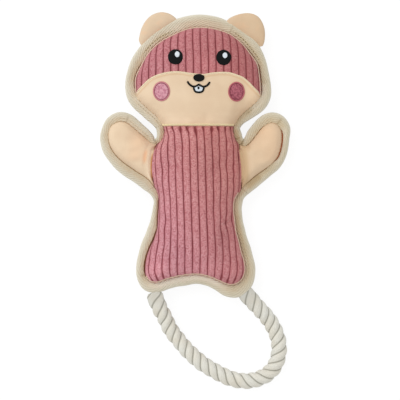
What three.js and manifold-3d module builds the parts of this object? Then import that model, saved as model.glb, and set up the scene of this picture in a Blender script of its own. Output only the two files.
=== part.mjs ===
// A stuffed animal dog toy with a rope tail, lying on its back. Millimetres, +Z up, +Y towards the head.
// Each part of the body is a pillow of two fabric skins over a wad of filling, with a folded tape
// round its edge. The neck, arms, ears and rope turn about lines at the height of the edge seam.
import * as THREE from 'three';
import { mergeVertices } from 'three/addons/utils/BufferGeometryUtils.js';
import Module from 'manifold-3d';

const wasm = await Module();
wasm.setup();

// Driving dimensions of the body
const headPanelWidth = 110;
const headPanelHeight = 85;
const bellyPanelWidth = 87;
const bodyLength = 136;
const shoulderHalfWidth = 36.5;
const shoulderDrop = 12;
const armReach = 40;
const armDepth = 44;
const frontSwell = 19;
const backSwell = 12;
const armFrontSwell = 10;
const armBackSwell = 9;

// Cloth, tape and clearances
const clothThickness = 2.2;
const hemmedThickness = 1;
const tapeWidth = 8;
const tapeThickness = 1.1;
const tapeFold = 0.8;
const tapeInset = 0.6;
const edgeStart = 3;
const seamGap = 0.3;
const pieceGap = 0.3;
const fillGap = 0.5;
const restFlat = 0.5;

// Ears
const earHeight = 16.2;
const earThickness = 3.2;

// Rope tail
const ropeDiameter = 13.2;
const ropeSides = 10;
const ropeSteps = 40;

// Stitched features
const threadHeight = 0.9;
const eyeWidth = 12.5;
const eyeHeight = 13;
const eyeSpacing = 41;
const glintWidth = 3.8;
const glintHeight = 4.8;
const glintShift = 1.3;
const glintRise = 2;
const noseWidth = 9.2;
const noseHeight = 5.4;
const toothWidth = 7.2;
const toothHeight = 3.9;
const cheekWidth = 13;
const cheekHeight = 15;
const cheekSpacing = 63.8;
const lineWidth = 1.5;
const edgeStitchWidth = 1.4;
const smileWidth = 19;
const smileHeight = 4.4;

// Squeaker
const bulbRadius = 11;
const bulbLength = 26;
const bulbWall = 1;
const bulbNeckRadius = 4;
const bulbNeckLength = 5;
const reedBore = 1.2;
const reedLength = 9;
const reedFlange = 1;

// How far each joint turns either way, degrees
const neckTurn = 20;
const armTurn = 30;
const earTurn = 45;

// Heights and places that follow from the sizes above
const neckY = bodyLength / 2;
const shoulderY = neckY - shoulderDrop;
const seamZ = seamGap / 2 + clothThickness + backSwell - restFlat;
const slotHalf = seamGap / 2 + hemmedThickness + pieceGap;
const wholeReach = headPanelWidth + bodyLength + armReach;

// Points of the panel edge as [across share, along share, tape share], hand picked round the outline.
// The head is in shares of half its width and of its height above the neck seam.
const headLeftShares = [
  [0.031, 1.0, 1.12], [-0.186, 0.985, 1.12], [-0.403, 0.93, 1.12], [-0.605, 0.845, 1.12],
  [-0.783, 0.735, 1.01], [-0.907, 0.615, 0.98], [-0.98, 0.49, 0.9], [-0.992, 0.38, 0.88],
  [-0.961, 0.3, 0.91], [-0.884, 0.235, 0.94], [-0.775, 0.175, 0.94], [-0.674, 0.12, 0.91],
  [-0.597, 0.06, 0.81], [-0.563, -0.01, 0.66],
];
const headRightShares = [
  [0.574, -0.01, 0.64], [0.62, 0.065, 0.74], [0.698, 0.13, 0.85], [0.806, 0.19, 0.99],
  [0.915, 0.25, 1.02], [0.981, 0.315, 0.98], [1.0, 0.4, 0.91], [0.977, 0.505, 0.98],
  [0.915, 0.615, 1.11], [0.806, 0.73, 1.28], [0.659, 0.835, 1.21], [0.481, 0.92, 1.16],
  [0.264, 0.975, 1.12],
];
// The body is in shares of half the belly's width and of the body's length below the neck seam.
const neckLeftShares = [[-0.702, 0.047, 0.51], [-0.745, 0.091, 0.49]];
const neckRightShares = [[0.81, 0.1, 0.55], [0.738, 0.053, 0.57]];
const bodyLeftShares = [
  [-0.767, 0.463, 0.6], [-0.771, 0.512, 0.66], [-0.8, 0.569, 0.68], [-0.849, 0.631, 0.7],
  [-0.907, 0.694, 0.74], [-0.976, 0.756, 0.79], [-1.034, 0.819, 0.79], [-1.054, 0.881, 0.82],
  [-1.034, 0.938, 0.87], [-0.946, 0.975, 0.98],
];
const hemShares = [
  [-0.8, 0.983, 0.98], [-0.585, 0.966, 0.9], [-0.312, 0.944, 0.91], [-0.02, 0.933, 0.9],
  [0.215, 0.943, 1.02], [0.41, 0.971, 1.04], [0.585, 1.001, 1.11],
];
const bodyRightShares = [
  [0.761, 0.995, 1.28], [0.888, 0.958, 1.17], [0.948, 0.9, 0.96], [0.946, 0.838, 0.85],
  [0.907, 0.775, 0.81], [0.859, 0.713, 0.74], [0.8, 0.65, 0.71], [0.755, 0.588, 0.73],
  [0.726, 0.525, 0.74], [0.732, 0.469, 0.8],
];
// The arms are in shares of the reach beyond the shoulder line and of the arm's depth.
const armLeftShares = [
  [0.021, 0.077, 0.55], [0.16, 0.0, 0.81], [0.298, -0.106, 0.96], [0.447, -0.221, 1.04],
  [0.596, -0.327, 1.0], [0.755, -0.356, 0.98], [0.904, -0.298, 0.91], [0.983, -0.183, 0.85],
  [0.994, -0.038, 0.87], [0.947, 0.125, 0.91], [0.84, 0.279, 0.89], [0.691, 0.413, 0.95],
  [0.532, 0.519, 1.0], [0.362, 0.621, 1.02], [0.191, 0.721, 1.04], [0.053, 0.846, 0.98],
  [-0.043, 1.0, 0.72],
];
const armRightShares = [
  [-0.064, 1.038, 0.79], [0.053, 0.904, 0.94], [0.191, 0.779, 1.01], [0.34, 0.667, 1.0],
  [0.511, 0.558, 0.94], [0.66, 0.452, 0.91], [0.777, 0.308, 0.87], [0.84, 0.135, 0.87],
  [0.862, -0.038, 0.89], [0.847, -0.192, 0.95], [0.766, -0.302, 1.0], [0.649, -0.335, 1.03],
  [0.521, -0.288, 1.04], [0.404, -0.183, 1.05], [0.309, -0.067, 1.02], [0.213, 0.038, 0.85],
  [0.096, 0.1, 0.72],
];
// Where a pillow runs on past a joint before it is cut there
const headBelowNeckShares = [[-0.5, -0.1], [-0.27, -0.14], [0, -0.15], [0.27, -0.14], [0.51, -0.1]];
const bodyAboveNeckShares = [[0.63, -0.04], [0.34, -0.07], [0, -0.08], [-0.34, -0.07], [-0.63, -0.04]];
const bodyPastArmShares = [[0.06, 0.19], [0.13, 0.5], [0.09, 0.79]];
const armIntoBodyShares = [[-0.19, 0.846], [-0.277, 0.5], [-0.234, 0.19]];
const armpitEndShare = 1.144;
// The point of an arm that all of its edge can be seen from
const armMiddleShares = [0.14, 0.42];

// The seam between forehead and muzzle, in shares of the head
const muzzleTopShares = [
  [-0.97, 0.32], [-0.853, 0.4], [-0.76, 0.46], [-0.651, 0.505], [-0.543, 0.535], [-0.434, 0.55],
  [-0.326, 0.555], [-0.217, 0.55], [-0.109, 0.54], [0.02, 0.53], [0.109, 0.533], [0.217, 0.54],
  [0.341, 0.55], [0.465, 0.547], [0.574, 0.525], [0.682, 0.49], [0.775, 0.44], [0.868, 0.375],
  [0.97, 0.31],
];
// Height of each feature above the neck seam and its shift across, in shares of the head's height
const eyeRiseShare = 0.69;
const eyeShiftShare = 0.018;
const noseRiseShare = 0.476;
const cheekRiseShare = 0.347;
const cheekShiftShare = 0.012;
const mouthRiseShare = 0.418;
const toothRiseShare = 0.371;
const featureShiftShare = 0.008;
// The ends of each ear's base line in shares of the head, and its rim in shares of the base's
// length and of the ear's height
const earLeftShares = {
  low: [-0.921, 0.849],
  high: [-0.34, 1.084],
  rim: [
    [0, -0.12], [0.02, 0.03], [0.08, 0.19], [0.2, 0.456], [0.35, 0.666], [0.51, 0.771], [0.66, 0.724],
    [0.8, 0.556], [0.915, 0.294], [0.98, 0.05], [0.99, -0.12],
  ],
};
const earRightShares = {
  low: [1.02, 0.82],
  high: [0.462, 1.07],
  rim: [
    [0, -0.12], [0.01, 0.03], [0.04, 0.19], [0.11, 0.46], [0.22, 0.735], [0.38, 0.955], [0.53, 1.0],
    [0.69, 0.866], [0.83, 0.593], [0.94, 0.26], [0.99, 0.005], [1.0, -0.12],
  ],
};
// Rings of a pillow's grid, as shares of the way from its middle to its edge
const ringShares = [0.95, 0.82, 0.52];
const crownPower = 0.55;
const settleShare = 0.6;

// The rope's centre line, [x, y, height of its underside above the ground]
const ropeRoute = [
  [-35.4, -80.4, 7.25], [-33.1, -85.5, 6.6], [-31.5, -89.3, 5.5], [-28.9, -93.5, 4],
  [-25.9, -100.3, 1.9], [-22.1, -107.1, 0.6], [-18, -112.3, 0.1], [-14, -117.3, 0.1],
  [-9.6, -122.4, 0.1], [-3.8, -127.9, 0.1], [3.8, -134.3, 0.1], [11.5, -139, 0.1],
  [19.1, -143.2, 0.1], [27.2, -146.8, 0.1], [35.7, -148.8, 0.1], [44.2, -148.9, 0.1],
  [52.3, -146.9, 0.1], [59.5, -143, 0.1], [65, -136.9, 0.1], [68, -129.6, 0.1],
  [69.1, -122, 0.1], [68.4, -114.3, 0.1], [65.9, -106.7, 0.1], [62.1, -99.5, 0.7],
  [57.4, -93.1, 2.6], [51.9, -87.1, 5.2], [44.6, -78.9, 7.25],
];

// Finishes
const finish = (color, roughness) => new THREE.MeshStandardMaterial({ color, roughness, metalness: 0 });
const corduroy = finish(0xc47c86, 0.95);
const suede = finish(0xe3c8a6, 0.9);
const tape = finish(0xcfc2a4, 0.9);
const filling = finish(0xf2f0ea, 1);
const cottonRope = finish(0xdcd8cc, 0.95);
const blackThread = finish(0x1d1e1d, 0.7);
const whiteThread = finish(0xf0eeea, 0.7);
const pinkThread = finish(0xc97a8c, 0.8);
const redThread = finish(0x9c4a58, 0.8);
const paleThread = finish(0xe2d2a2, 0.8);
const squeakerPlastic = finish(0xf4f4f0, 0.4);

// Solids
function solidOf(geometry) {
  const bare = geometry.clone();
  bare.deleteAttribute('normal');
  bare.deleteAttribute('uv');
  const merged = mergeVertices(bare);
  const vertProperties = new Float32Array(merged.attributes.position.array);
  const triVerts = new Uint32Array(merged.index.array);
  const made = new wasm.Manifold(new wasm.Mesh({ numProp: 3, vertProperties, triVerts }));
  if (made.volume() > 0) return made;
  const turned = triVerts.map((_, k) => triVerts[k % 3 === 1 ? k + 1 : k % 3 === 2 ? k - 1 : k]);
  return new wasm.Manifold(new wasm.Mesh({ numProp: 3, vertProperties, triVerts: turned }));
}

function solidFromFaces(points, faces) {
  const geometry = new THREE.BufferGeometry().setFromPoints(points);
  geometry.setIndex(faces.flat());
  return solidOf(geometry);
}

// The largest piece that a cut leaves; the offcuts fall away.
function mainPiece(solid) {
  const pieces = solid.decompose();
  return pieces.reduce((best, piece) => (piece.volume() > best.volume() ? piece : best));
}

function geometryOf(solid) {
  const mesh = solid.getMesh();
  const positions = new Float32Array(mesh.numVert * 3);
  for (let i = 0; i < mesh.numVert; i++) {
    for (let k = 0; k < 3; k++) positions[i * 3 + k] = mesh.vertProperties[i * mesh.numProp + k];
  }
  const geometry = new THREE.BufferGeometry();
  geometry.setAttribute('position', new THREE.BufferAttribute(positions, 3));
  geometry.setIndex(Array.from(mesh.triVerts));
  geometry.computeVertexNormals();
  return geometry;
}

const toy = new THREE.Group();

function addPiece(name, solid, material) {
  const mesh = new THREE.Mesh(geometryOf(mainPiece(solid)), material);
  mesh.name = name;
  toy.add(mesh);
}

// Outline
const onHead = ([across, along]) => new THREE.Vector2(
  (across * headPanelWidth) / 2,
  neckY + along * headPanelHeight,
);
const onBody = ([across, along]) => new THREE.Vector2(
  (across * bellyPanelWidth) / 2,
  neckY - along * bodyLength,
);
const onArm = (side) => ([across, along]) => new THREE.Vector2(
  side * (shoulderHalfWidth + across * armReach),
  shoulderY - along * armDepth,
);
const left = -1;
const right = 1;

// The whole panel edge, anticlockwise from the crown, with the width of tape outside each point
const stretches = {
  headLeft: headLeftShares.map((share) => ({ at: onHead(share), tape: share[2] * tapeWidth })),
  neckLeft: neckLeftShares.map((share) => ({ at: onBody(share), tape: share[2] * tapeWidth })),
  armLeft: armLeftShares.map((share) => ({ at: onArm(left)(share), tape: share[2] * tapeWidth })),
  bodyLeft: bodyLeftShares.map((share) => ({ at: onBody(share), tape: share[2] * tapeWidth })),
  hem: hemShares.map((share) => ({ at: onBody(share), tape: share[2] * tapeWidth })),
  bodyRight: bodyRightShares.map((share) => ({ at: onBody(share), tape: share[2] * tapeWidth })),
  armRight: armRightShares.map((share) => ({ at: onArm(right)(share), tape: share[2] * tapeWidth })),
  neckRight: neckRightShares.map((share) => ({ at: onBody(share), tape: share[2] * tapeWidth })),
  headRight: headRightShares.map((share) => ({ at: onHead(share), tape: share[2] * tapeWidth })),
};
const outline = Object.values(stretches).flat();

// Unit vector that points out of an anticlockwise loop at its point number i
function outwardAt(points, i) {
  const before = points[(i + points.length - 1) % points.length];
  const after = points[(i + 1) % points.length];
  return new THREE.Vector2(after.y - before.y, before.x - after.x).normalize();
}
const outlinePoints = outline.map((point) => point.at);
outline.forEach((point, i) => {
  point.out = outwardAt(outlinePoints, i);
});

// A pillow's loop: stretches of the outline, closed by points that its joint cuts off again
function closeLoop(parts) {
  const loop = parts.flat();
  const points = loop.map((point) => point.at);
  return loop.map((point, i) => ({
    at: point.at,
    out: point.out ?? outwardAt(points, i),
    hem: (point.tape ?? tapeWidth / 2) - tapeThickness - tapeFold,
  }));
}
const hidden = (shares, place) => shares.map((share) => ({ at: place(share) }));
const first = (list) => list[0];
const last = (list) => list[list.length - 1];
const headLoop = closeLoop([
  stretches.headLeft,
  hidden(headBelowNeckShares, onHead),
  stretches.headRight,
]);
const bodyLoop = closeLoop([
  last(stretches.headLeft),
  stretches.neckLeft,
  hidden(bodyPastArmShares, onArm(left)),
  last(stretches.armLeft),
  stretches.bodyLeft,
  stretches.hem,
  stretches.bodyRight,
  first(stretches.armRight),
  hidden(bodyPastArmShares, onArm(right)).reverse(),
  stretches.neckRight,
  first(stretches.headRight),
  hidden(bodyAboveNeckShares, onBody),
]);
const armLeftLoop = closeLoop([
  last(stretches.neckLeft),
  stretches.armLeft,
  hidden(armIntoBodyShares, onArm(left)),
]);
const armRightLoop = closeLoop([
  stretches.armRight,
  first(stretches.neckRight),
  hidden(armIntoBodyShares, onArm(right)).reverse(),
]);

// Swelling
// Mean distance from a point to a loop in all directions: 0 on the edge, greatest in the middle
function depthInside(at, loop) {
  let pull = 0;
  loop.forEach((from, i) => {
    const to = loop[(i + 1) % loop.length];
    const edge = to.at.clone().sub(from.at);
    const a = from.at.clone().sub(at);
    const b = to.at.clone().sub(at);
    const off = a.cross(b) / edge.length();
    if (Math.abs(off) > edge.length() * Number.EPSILON) {
      pull += (b.dot(edge) / b.length() - a.dot(edge) / a.length()) / edge.length() / off;
    }
  });
  return 2 / pull;
}

function middleOf(loop) {
  const low = new THREE.Vector2(Infinity, Infinity);
  const high = new THREE.Vector2(-Infinity, -Infinity);
  loop.forEach((point) => {
    low.min(point.at);
    high.max(point.at);
  });
  return low.add(high).divideScalar(2);
}

// The plan of a pillow: a hem ring, the edge ring, inner rings and a middle point, with the depth
// of each point and the faces between them
function planOf(loop, middle = middleOf(loop)) {
  const count = loop.length;
  const points = loop.map(({ at, out, hem }) => ({ at: at.clone().addScaledVector(out, hem), depth: 0 }));
  loop.forEach(({ at }) => points.push({ at, depth: 0 }));
  ringShares.forEach((share) => {
    loop.forEach((point) => {
      const at = middle.clone().lerp(point.at, share);
      points.push({ at, depth: depthInside(at, loop) });
    });
  });
  points.push({ at: middle, depth: depthInside(middle, loop) });
  const faces = [];
  const rings = ringShares.length + 2;
  for (let ring = 0; ring < rings; ring++) {
    for (let i = 0; i < count; i++) {
      const a = ring * count + i;
      const b = ring * count + ((i + 1) % count);
      if (ring === rings - 1) {
        faces.push([a, b, points.length - 1]);
      } else {
        faces.push([a, b, b + count], [a, b + count, a + count]);
      }
    }
  }
  return { points, faces, count };
}

// Heights above the edge seam of the inner and outer face of a skin
const frontRise = (swell, crown) => (depth) => swell * (depth / crown) ** crownPower;
function backRise(swell, crown) {
  return (depth) => {
    const short = 1 - Math.min(1, depth / (settleShare * crown));
    return swell * Math.sqrt(1 - short * short);
  };
}
const skinThickness = (depth) => {
  const full = Math.min(1, depth / edgeStart);
  return hemmedThickness + (clothThickness - hemmedThickness) * full;
};

// A closed layer between two heights over a plan
function layer(plan, faces, lowOf, highOf) {
  const used = [...new Set(faces.flat())];
  const slot = new Map(used.map((index, k) => [index, k]));
  const count = used.length;
  const lift = (heightOf) => used.map((index) => {
    const { at } = plan.points[index];
    return new THREE.Vector3(at.x, at.y, heightOf(plan.points[index]));
  });
  const vertices = [...lift(highOf), ...lift(lowOf)];
  const top = faces.map((face) => face.map((index) => slot.get(index)));
  const edges = new Map();
  top.forEach(([a, b, c]) => [[a, b], [b, c], [c, a]].forEach((edge) => edges.set(edge.join(), edge)));
  const walls = [...edges.values()].filter(([a, b]) => !edges.has([b, a].join()));
  const sides = walls.flatMap(([a, b]) => [[a + count, b + count, b], [a + count, b, a]]);
  const bottom = top.map(([a, b, c]) => [c + count, b + count, a + count]);
  return solidFromFaces(vertices, [...top, ...bottom, ...sides]);
}

const frontSkin = (plan, rise) => layer(
  plan,
  plan.faces,
  ({ depth }) => seamZ + seamGap / 2 + rise(depth),
  ({ depth }) => seamZ + seamGap / 2 + rise(depth) + skinThickness(depth),
);
const backSkin = (plan, rise) => layer(
  plan,
  plan.faces,
  ({ depth }) => Math.max(0, seamZ - seamGap / 2 - rise(depth) - skinThickness(depth)),
  ({ depth }) => seamZ - seamGap / 2 - rise(depth),
);
// Filling reaches to the first ring inside the edge and stays clear of both skins.
function fillingFaces(plan) {
  return plan.faces.filter((face) => face.every((index) => index >= plan.count * 2));
}
const fillingTop = (rise) => ({ depth }) => seamZ + seamGap / 2 + rise(depth) - fillGap;
const fillingBottom = (rise) => ({ depth }) => seamZ - seamGap / 2 - rise(depth) + fillGap;

// Joint cuts: both sides of a joint slope away from its line, by half the turn and a little more,
// so that they close on each other at the limit and never meet.
function prism(corners, depth) {
  const shape = new THREE.Shape(corners);
  return new THREE.ExtrudeGeometry(shape, { depth, bevelEnabled: false });
}
const slope = (turn) => Math.tan(THREE.MathUtils.degToRad(turn / 2));

// Everything beyond a joint line, as a section [away, up] about the line. It leans away from the
// line to keep the far piece and back over the line to cut the near one.
const leanAway = 1;
const leanBack = -1;
function beyond(turn, lean) {
  const start = (lean * pieceGap) / 2;
  const end = start + lean * wholeReach * slope(turn);
  return [
    new THREE.Vector2(start, 0),
    new THREE.Vector2(end, wholeReach),
    new THREE.Vector2(wholeReach * 2, wholeReach),
    new THREE.Vector2(wholeReach * 2, -wholeReach),
    new THREE.Vector2(end, -wholeReach),
  ];
}

// Stands a section [away, up] on a joint line from one point along another direction
function alongLine(corners, start, direction, length, away) {
  const geometry = prism(corners, length);
  const up = new THREE.Vector3(0, 0, 1);
  geometry.applyMatrix4(new THREE.Matrix4().makeBasis(away, up, direction).setPosition(start));
  return solidOf(geometry);
}

const alongX = new THREE.Vector3(1, 0, 0);
const alongY = new THREE.Vector3(0, 1, 0);
const neckStart = new THREE.Vector3(-wholeReach, neckY, seamZ);
const headSide = alongLine(beyond(neckTurn, leanAway), neckStart, alongX, wholeReach * 2, alongY);
const headCut = alongLine(beyond(neckTurn, leanBack), neckStart, alongX, wholeReach * 2, alongY);

const armpitEnd = shoulderY - armpitEndShare * armDepth;
function armCutters(side) {
  const away = new THREE.Vector3(side, 0, 0);
  const keepFrom = new THREE.Vector3(side * shoulderHalfWidth, armpitEnd + pieceGap, seamZ);
  const cutFrom = new THREE.Vector3(side * shoulderHalfWidth, armpitEnd, seamZ);
  return {
    keep: alongLine(beyond(armTurn, leanAway), keepFrom, alongY, wholeReach, away),
    cut: alongLine(beyond(armTurn, leanBack), cutFrom, alongY, neckY - armpitEnd, away),
  };
}
const armCut = { left: armCutters(left), right: armCutters(right) };
const cutHead = (solid) => solid.intersect(headSide);
const cutBody = (solid) => solid.subtract(headCut).subtract(armCut.left.cut).subtract(armCut.right.cut);

// Head
const headPlan = planOf(headLoop);
const headCrown = last(headPlan.points).depth;
const headFront = frontRise(frontSwell, headCrown);
const headBack = backRise(backSwell, headCrown);

// Regions above and below the seam between forehead and muzzle
function besideSeam(above) {
  const shift = (above * pieceGap) / 2;
  const seam = muzzleTopShares.map(onHead).map((at) => at.add(new THREE.Vector2(0, shift)));
  const far = above * wholeReach;
  const corners = [
    new THREE.Vector2(-wholeReach, first(seam).y),
    ...seam,
    new THREE.Vector2(wholeReach, last(seam).y),
    new THREE.Vector2(wholeReach, neckY + far),
    new THREE.Vector2(-wholeReach, neckY + far),
  ];
  return solidOf(prism(corners, wholeReach));
}
const headSkin = cutHead(frontSkin(headPlan, headFront));
addPiece('forehead_panel', headSkin.intersect(besideSeam(1)), corduroy);
addPiece('muzzle_panel', headSkin.intersect(besideSeam(-1)), suede);
addPiece('head_back_panel', cutHead(backSkin(headPlan, headBack)), corduroy);
addPiece(
  'head_stuffing',
  cutHead(layer(headPlan, fillingFaces(headPlan), fillingBottom(headBack), fillingTop(headFront))),
  filling,
);

// Squeaker, lying along the body in a pocket between two wads of filling
const bodyPlan = planOf(bodyLoop);
const bodyCrown = last(bodyPlan.points).depth;
const bodyFront = frontRise(frontSwell, bodyCrown);
const bodyBack = backRise(backSwell, bodyCrown);
const bulbMiddle = new THREE.Vector3(0, 0, seamZ);
const bulbArcSteps = 10;
const bulbFacets = 20;

// A rounded bulb with a neck, as profile points [radius, along] from its closed end to its mouth
function bulbProfile(grow) {
  const radius = bulbRadius + grow;
  const half = bulbLength / 2 + grow;
  const neck = bulbNeckRadius + grow;
  const turnEnd = Math.PI - Math.asin(neck / radius);
  const points = [];
  for (let i = 0; i <= bulbArcSteps; i++) {
    const turn = (turnEnd * i) / bulbArcSteps;
    const round = i === 0 ? 0 : Math.sin(turn) * radius;
    points.push(new THREE.Vector2(round, -Math.cos(turn) * half));
  }
  points.push(new THREE.Vector2(neck, bulbLength / 2 + bulbNeckLength));
  return points;
}
function alongBody(profile, facets) {
  const lathe = new THREE.LatheGeometry(profile, facets);
  return solidOf(lathe.translate(bulbMiddle.x, bulbMiddle.y, bulbMiddle.z));
}
const mouth = bulbLength / 2 + bulbNeckLength;
const reedRadius = bulbNeckRadius - bulbWall - pieceGap;
addPiece(
  'squeaker_bulb',
  alongBody([...bulbProfile(0), ...bulbProfile(-bulbWall).reverse()], bulbFacets),
  squeakerPlastic,
);
const reedFront = mouth + pieceGap + reedFlange;
const reedProfile = [
  [reedBore, mouth - reedLength], [reedRadius, mouth - reedLength], [reedRadius, mouth + pieceGap],
  [bulbNeckRadius, mouth + pieceGap], [bulbNeckRadius, reedFront], [reedBore, reedFront],
  [reedBore, mouth - reedLength],
].map(([radius, along]) => new THREE.Vector2(radius, along));
addPiece('squeaker_reed', alongBody(reedProfile, bulbFacets), squeakerPlastic);
const pocketEnd = new THREE.Vector2(0, reedFront + fillGap);
const pocketLip = new THREE.Vector2(bulbNeckRadius + fillGap, reedFront + fillGap);
const pocket = alongBody([...bulbProfile(fillGap), pocketLip, pocketEnd], bulbFacets);

// Body
addPiece('belly_panel', cutBody(frontSkin(bodyPlan, bodyFront)), corduroy);
addPiece('body_back_panel', cutBody(backSkin(bodyPlan, bodyBack)), corduroy);
const wadFaces = fillingFaces(bodyPlan);
const frontWad = layer(bodyPlan, wadFaces, () => seamZ + pieceGap / 2, fillingTop(bodyFront));
const backWad = layer(bodyPlan, wadFaces, fillingBottom(bodyBack), () => seamZ - pieceGap / 2);
addPiece('body_stuffing_front', cutBody(frontWad).subtract(pocket), filling);
addPiece('body_stuffing_back', cutBody(backWad).subtract(pocket), filling);

// Arms
function addArm(name, side, loop, cutter) {
  const plan = planOf(loop, onArm(side)(armMiddleShares));
  const crown = last(plan.points).depth;
  const front = frontRise(armFrontSwell, crown);
  const back = backRise(armBackSwell, crown);
  const cut = (solid) => solid.intersect(cutter.keep);
  addPiece(`${name}_front_panel`, cut(frontSkin(plan, front)), suede);
  addPiece(`${name}_back_panel`, cut(backSkin(plan, back)), suede);
  const wad = layer(plan, fillingFaces(plan), fillingBottom(back), fillingTop(front));
  addPiece(`${name}_stuffing`, cut(wad), filling);
}
addArm('arm_left', left, armLeftLoop, armCut.left);
addArm('arm_right', right, armRightLoop, armCut.right);

// Binding tape, folded over the hems of both skins: a U section swept round part of the outline
function tapeSection(width) {
  const outer = slotHalf + tapeThickness;
  const fold = width - tapeThickness;
  return [
    [tapeInset, outer], [width - tapeFold, outer], [width, outer - tapeFold], [width, tapeFold - outer],
    [width - tapeFold, -outer], [tapeInset, -outer], [tapeInset, -slotHalf], [fold, -slotHalf],
    [fold, slotHalf], [tapeInset, slotHalf],
  ];
}
// Triangles that fill a section, wound the way that its corners run
function capFaces(section) {
  const clockwise = THREE.ShapeUtils.isClockWise(section);
  return THREE.ShapeUtils.triangulateShape(section, []).map((face) => {
    const turned = THREE.ShapeUtils.isClockWise(face.map((index) => section[index]));
    return turned === clockwise ? face : [...face].reverse();
  });
}
function tapeFrom(start, count) {
  const vertices = [];
  const faces = [];
  const corners = tapeSection(tapeWidth).length;
  for (let k = 0; k < count; k++) {
    const { at, out, tape: width } = outline[(start + k + outline.length) % outline.length];
    tapeSection(width).forEach(([away, up]) => {
      vertices.push(new THREE.Vector3(at.x + out.x * away, at.y + out.y * away, seamZ + up));
    });
  }
  for (let k = 0; k + 1 < count; k++) {
    for (let c = 0; c < corners; c++) {
      const a = k * corners + c;
      const b = k * corners + ((c + 1) % corners);
      faces.push([a, b, b + corners], [a, b + corners, a + corners]);
    }
  }
  const section = tapeSection(tapeWidth).map(([away, up]) => new THREE.Vector2(away, up));
  const cap = capFaces(section);
  const end = (count - 1) * corners;
  cap.forEach(([a, b, c]) => faces.push([c, b, a], [a + end, b + end, c + end]));
  return solidFromFaces(vertices, faces);
}
// Each length of tape runs a little past its joint before it is cut there.
const startOf = (name) => outline.indexOf(stretches[name][0]);
const runOver = 2;
function tapeOver(from, through) {
  const names = Object.keys(stretches);
  const order = [...names, ...names];
  const begin = order.indexOf(from);
  const until = order.indexOf(through, begin);
  const count = order.slice(begin, until + 1).reduce((sum, name) => sum + stretches[name].length, 0);
  return tapeFrom(startOf(from) - runOver, count + runOver * 2);
}
addPiece('head_binding', cutHead(tapeOver('headRight', 'headLeft')), tape);
addPiece('neck_binding_left', cutBody(tapeOver('neckLeft', 'neckLeft')), tape);
addPiece('neck_binding_right', cutBody(tapeOver('neckRight', 'neckRight')), tape);
addPiece('arm_left_binding', tapeOver('armLeft', 'armLeft').intersect(armCut.left.keep), tape);
addPiece('arm_right_binding', tapeOver('armRight', 'armRight').intersect(armCut.right.keep), tape);
addPiece('hem_binding', cutBody(tapeOver('bodyLeft', 'bodyRight')), tape);

// Ears: two padded leaves beyond a joint line that runs just outside the head's tape. The tape
// isn't cut back there, so the ear alone leans by the whole turn.
function addEar(name, side, shares) {
  const base = onHead(shares.low);
  const run = onHead(shares.high).sub(base);
  const width = run.length();
  run.normalize();
  const out = new THREE.Vector2(side * Math.abs(run.y), Math.abs(run.x));
  const ring = shares.rim.map(([along, away]) => ({
    at: base.clone().addScaledVector(run, along * width).addScaledVector(out, away * earHeight),
  }));
  const loop = closeLoop([side === left ? ring.reverse() : ring]);
  const plan = planOf(loop);
  const crown = last(plan.points).depth;
  const bulge = ({ depth }) => hemmedThickness + frontRise(earThickness - hemmedThickness, crown)(depth);
  const faces = plan.faces.filter((face) => face.every((index) => index >= plan.count));
  const direction = new THREE.Vector3(run.x, run.y, 0);
  const away = new THREE.Vector3(out.x, out.y, 0);
  const start = new THREE.Vector3(base.x, base.y, seamZ).addScaledVector(direction, -width);
  const keep = alongLine(beyond(earTurn * 2, leanAway), start, direction, wholeReach, away);
  const front = layer(plan, faces, () => seamZ + seamGap / 2, (point) => seamZ + seamGap / 2 + bulge(point));
  const back = layer(plan, faces, (point) => seamZ - seamGap / 2 - bulge(point), () => seamZ - seamGap / 2);
  addPiece(`${name}_front`, front.intersect(keep), suede);
  addPiece(`${name}_back`, back.intersect(keep), suede);
}
addEar('ear_left', left, earLeftShares);
addEar('ear_right', right, earRightShares);

// Stitched features
// Height of the outside of the head's front skin over a point
function headSurface(at) {
  const inside = headPlan.faces.find((face) => {
    const corners = face.map((index) => headPlan.points[index].at);
    return corners.every((a, i) => {
      const b = corners[(i + 1) % 3];
      return b.clone().sub(a).cross(at.clone().sub(a)) >= 0;
    });
  });
  const corners = inside.map((index) => {
    const point = headPlan.points[index];
    const up = seamZ + seamGap / 2 + headFront(point.depth) + skinThickness(point.depth);
    return new THREE.Vector3(point.at.x, point.at.y, up);
  });
  const face = new THREE.Plane().setFromCoplanarPoints(...corners);
  return -(face.constant + face.normal.x * at.x + face.normal.y * at.y) / face.normal.z;
}

const onFace = (across, riseShare, shiftShare) => new THREE.Vector2(
  across + shiftShare * headPanelHeight,
  neckY + riseShare * headPanelHeight,
);

// An oval patch of close stitches that lies on the skin, raised in its middle
const patchSpokes = 18;
const patchRingShare = 0.6;
const patchEdgeShare = 0.5;
function addPatch(name, middle, width, height, lift, material) {
  const points = [];
  [1, patchRingShare].forEach((share) => {
    for (let i = 0; i < patchSpokes; i++) {
      const turn = (Math.PI * 2 * i) / patchSpokes;
      const spoke = new THREE.Vector2((Math.cos(turn) * width) / 2, (Math.sin(turn) * height) / 2);
      const rise = share === 1 ? patchEdgeShare : 1;
      points.push({ at: middle.clone().addScaledVector(spoke, share), rise });
    }
  });
  points.push({ at: middle, rise: 1 });
  const faces = [];
  for (let i = 0; i < patchSpokes; i++) {
    const j = (i + 1) % patchSpokes;
    faces.push([i, j, j + patchSpokes], [i, j + patchSpokes, i + patchSpokes]);
    faces.push([i + patchSpokes, j + patchSpokes, patchSpokes * 2]);
  }
  const under = ({ at }) => headSurface(at) + lift;
  const over = (point) => under(point) + threadHeight * point.rise;
  addPiece(name, layer({ points }, faces, under, over), material);
}

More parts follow.
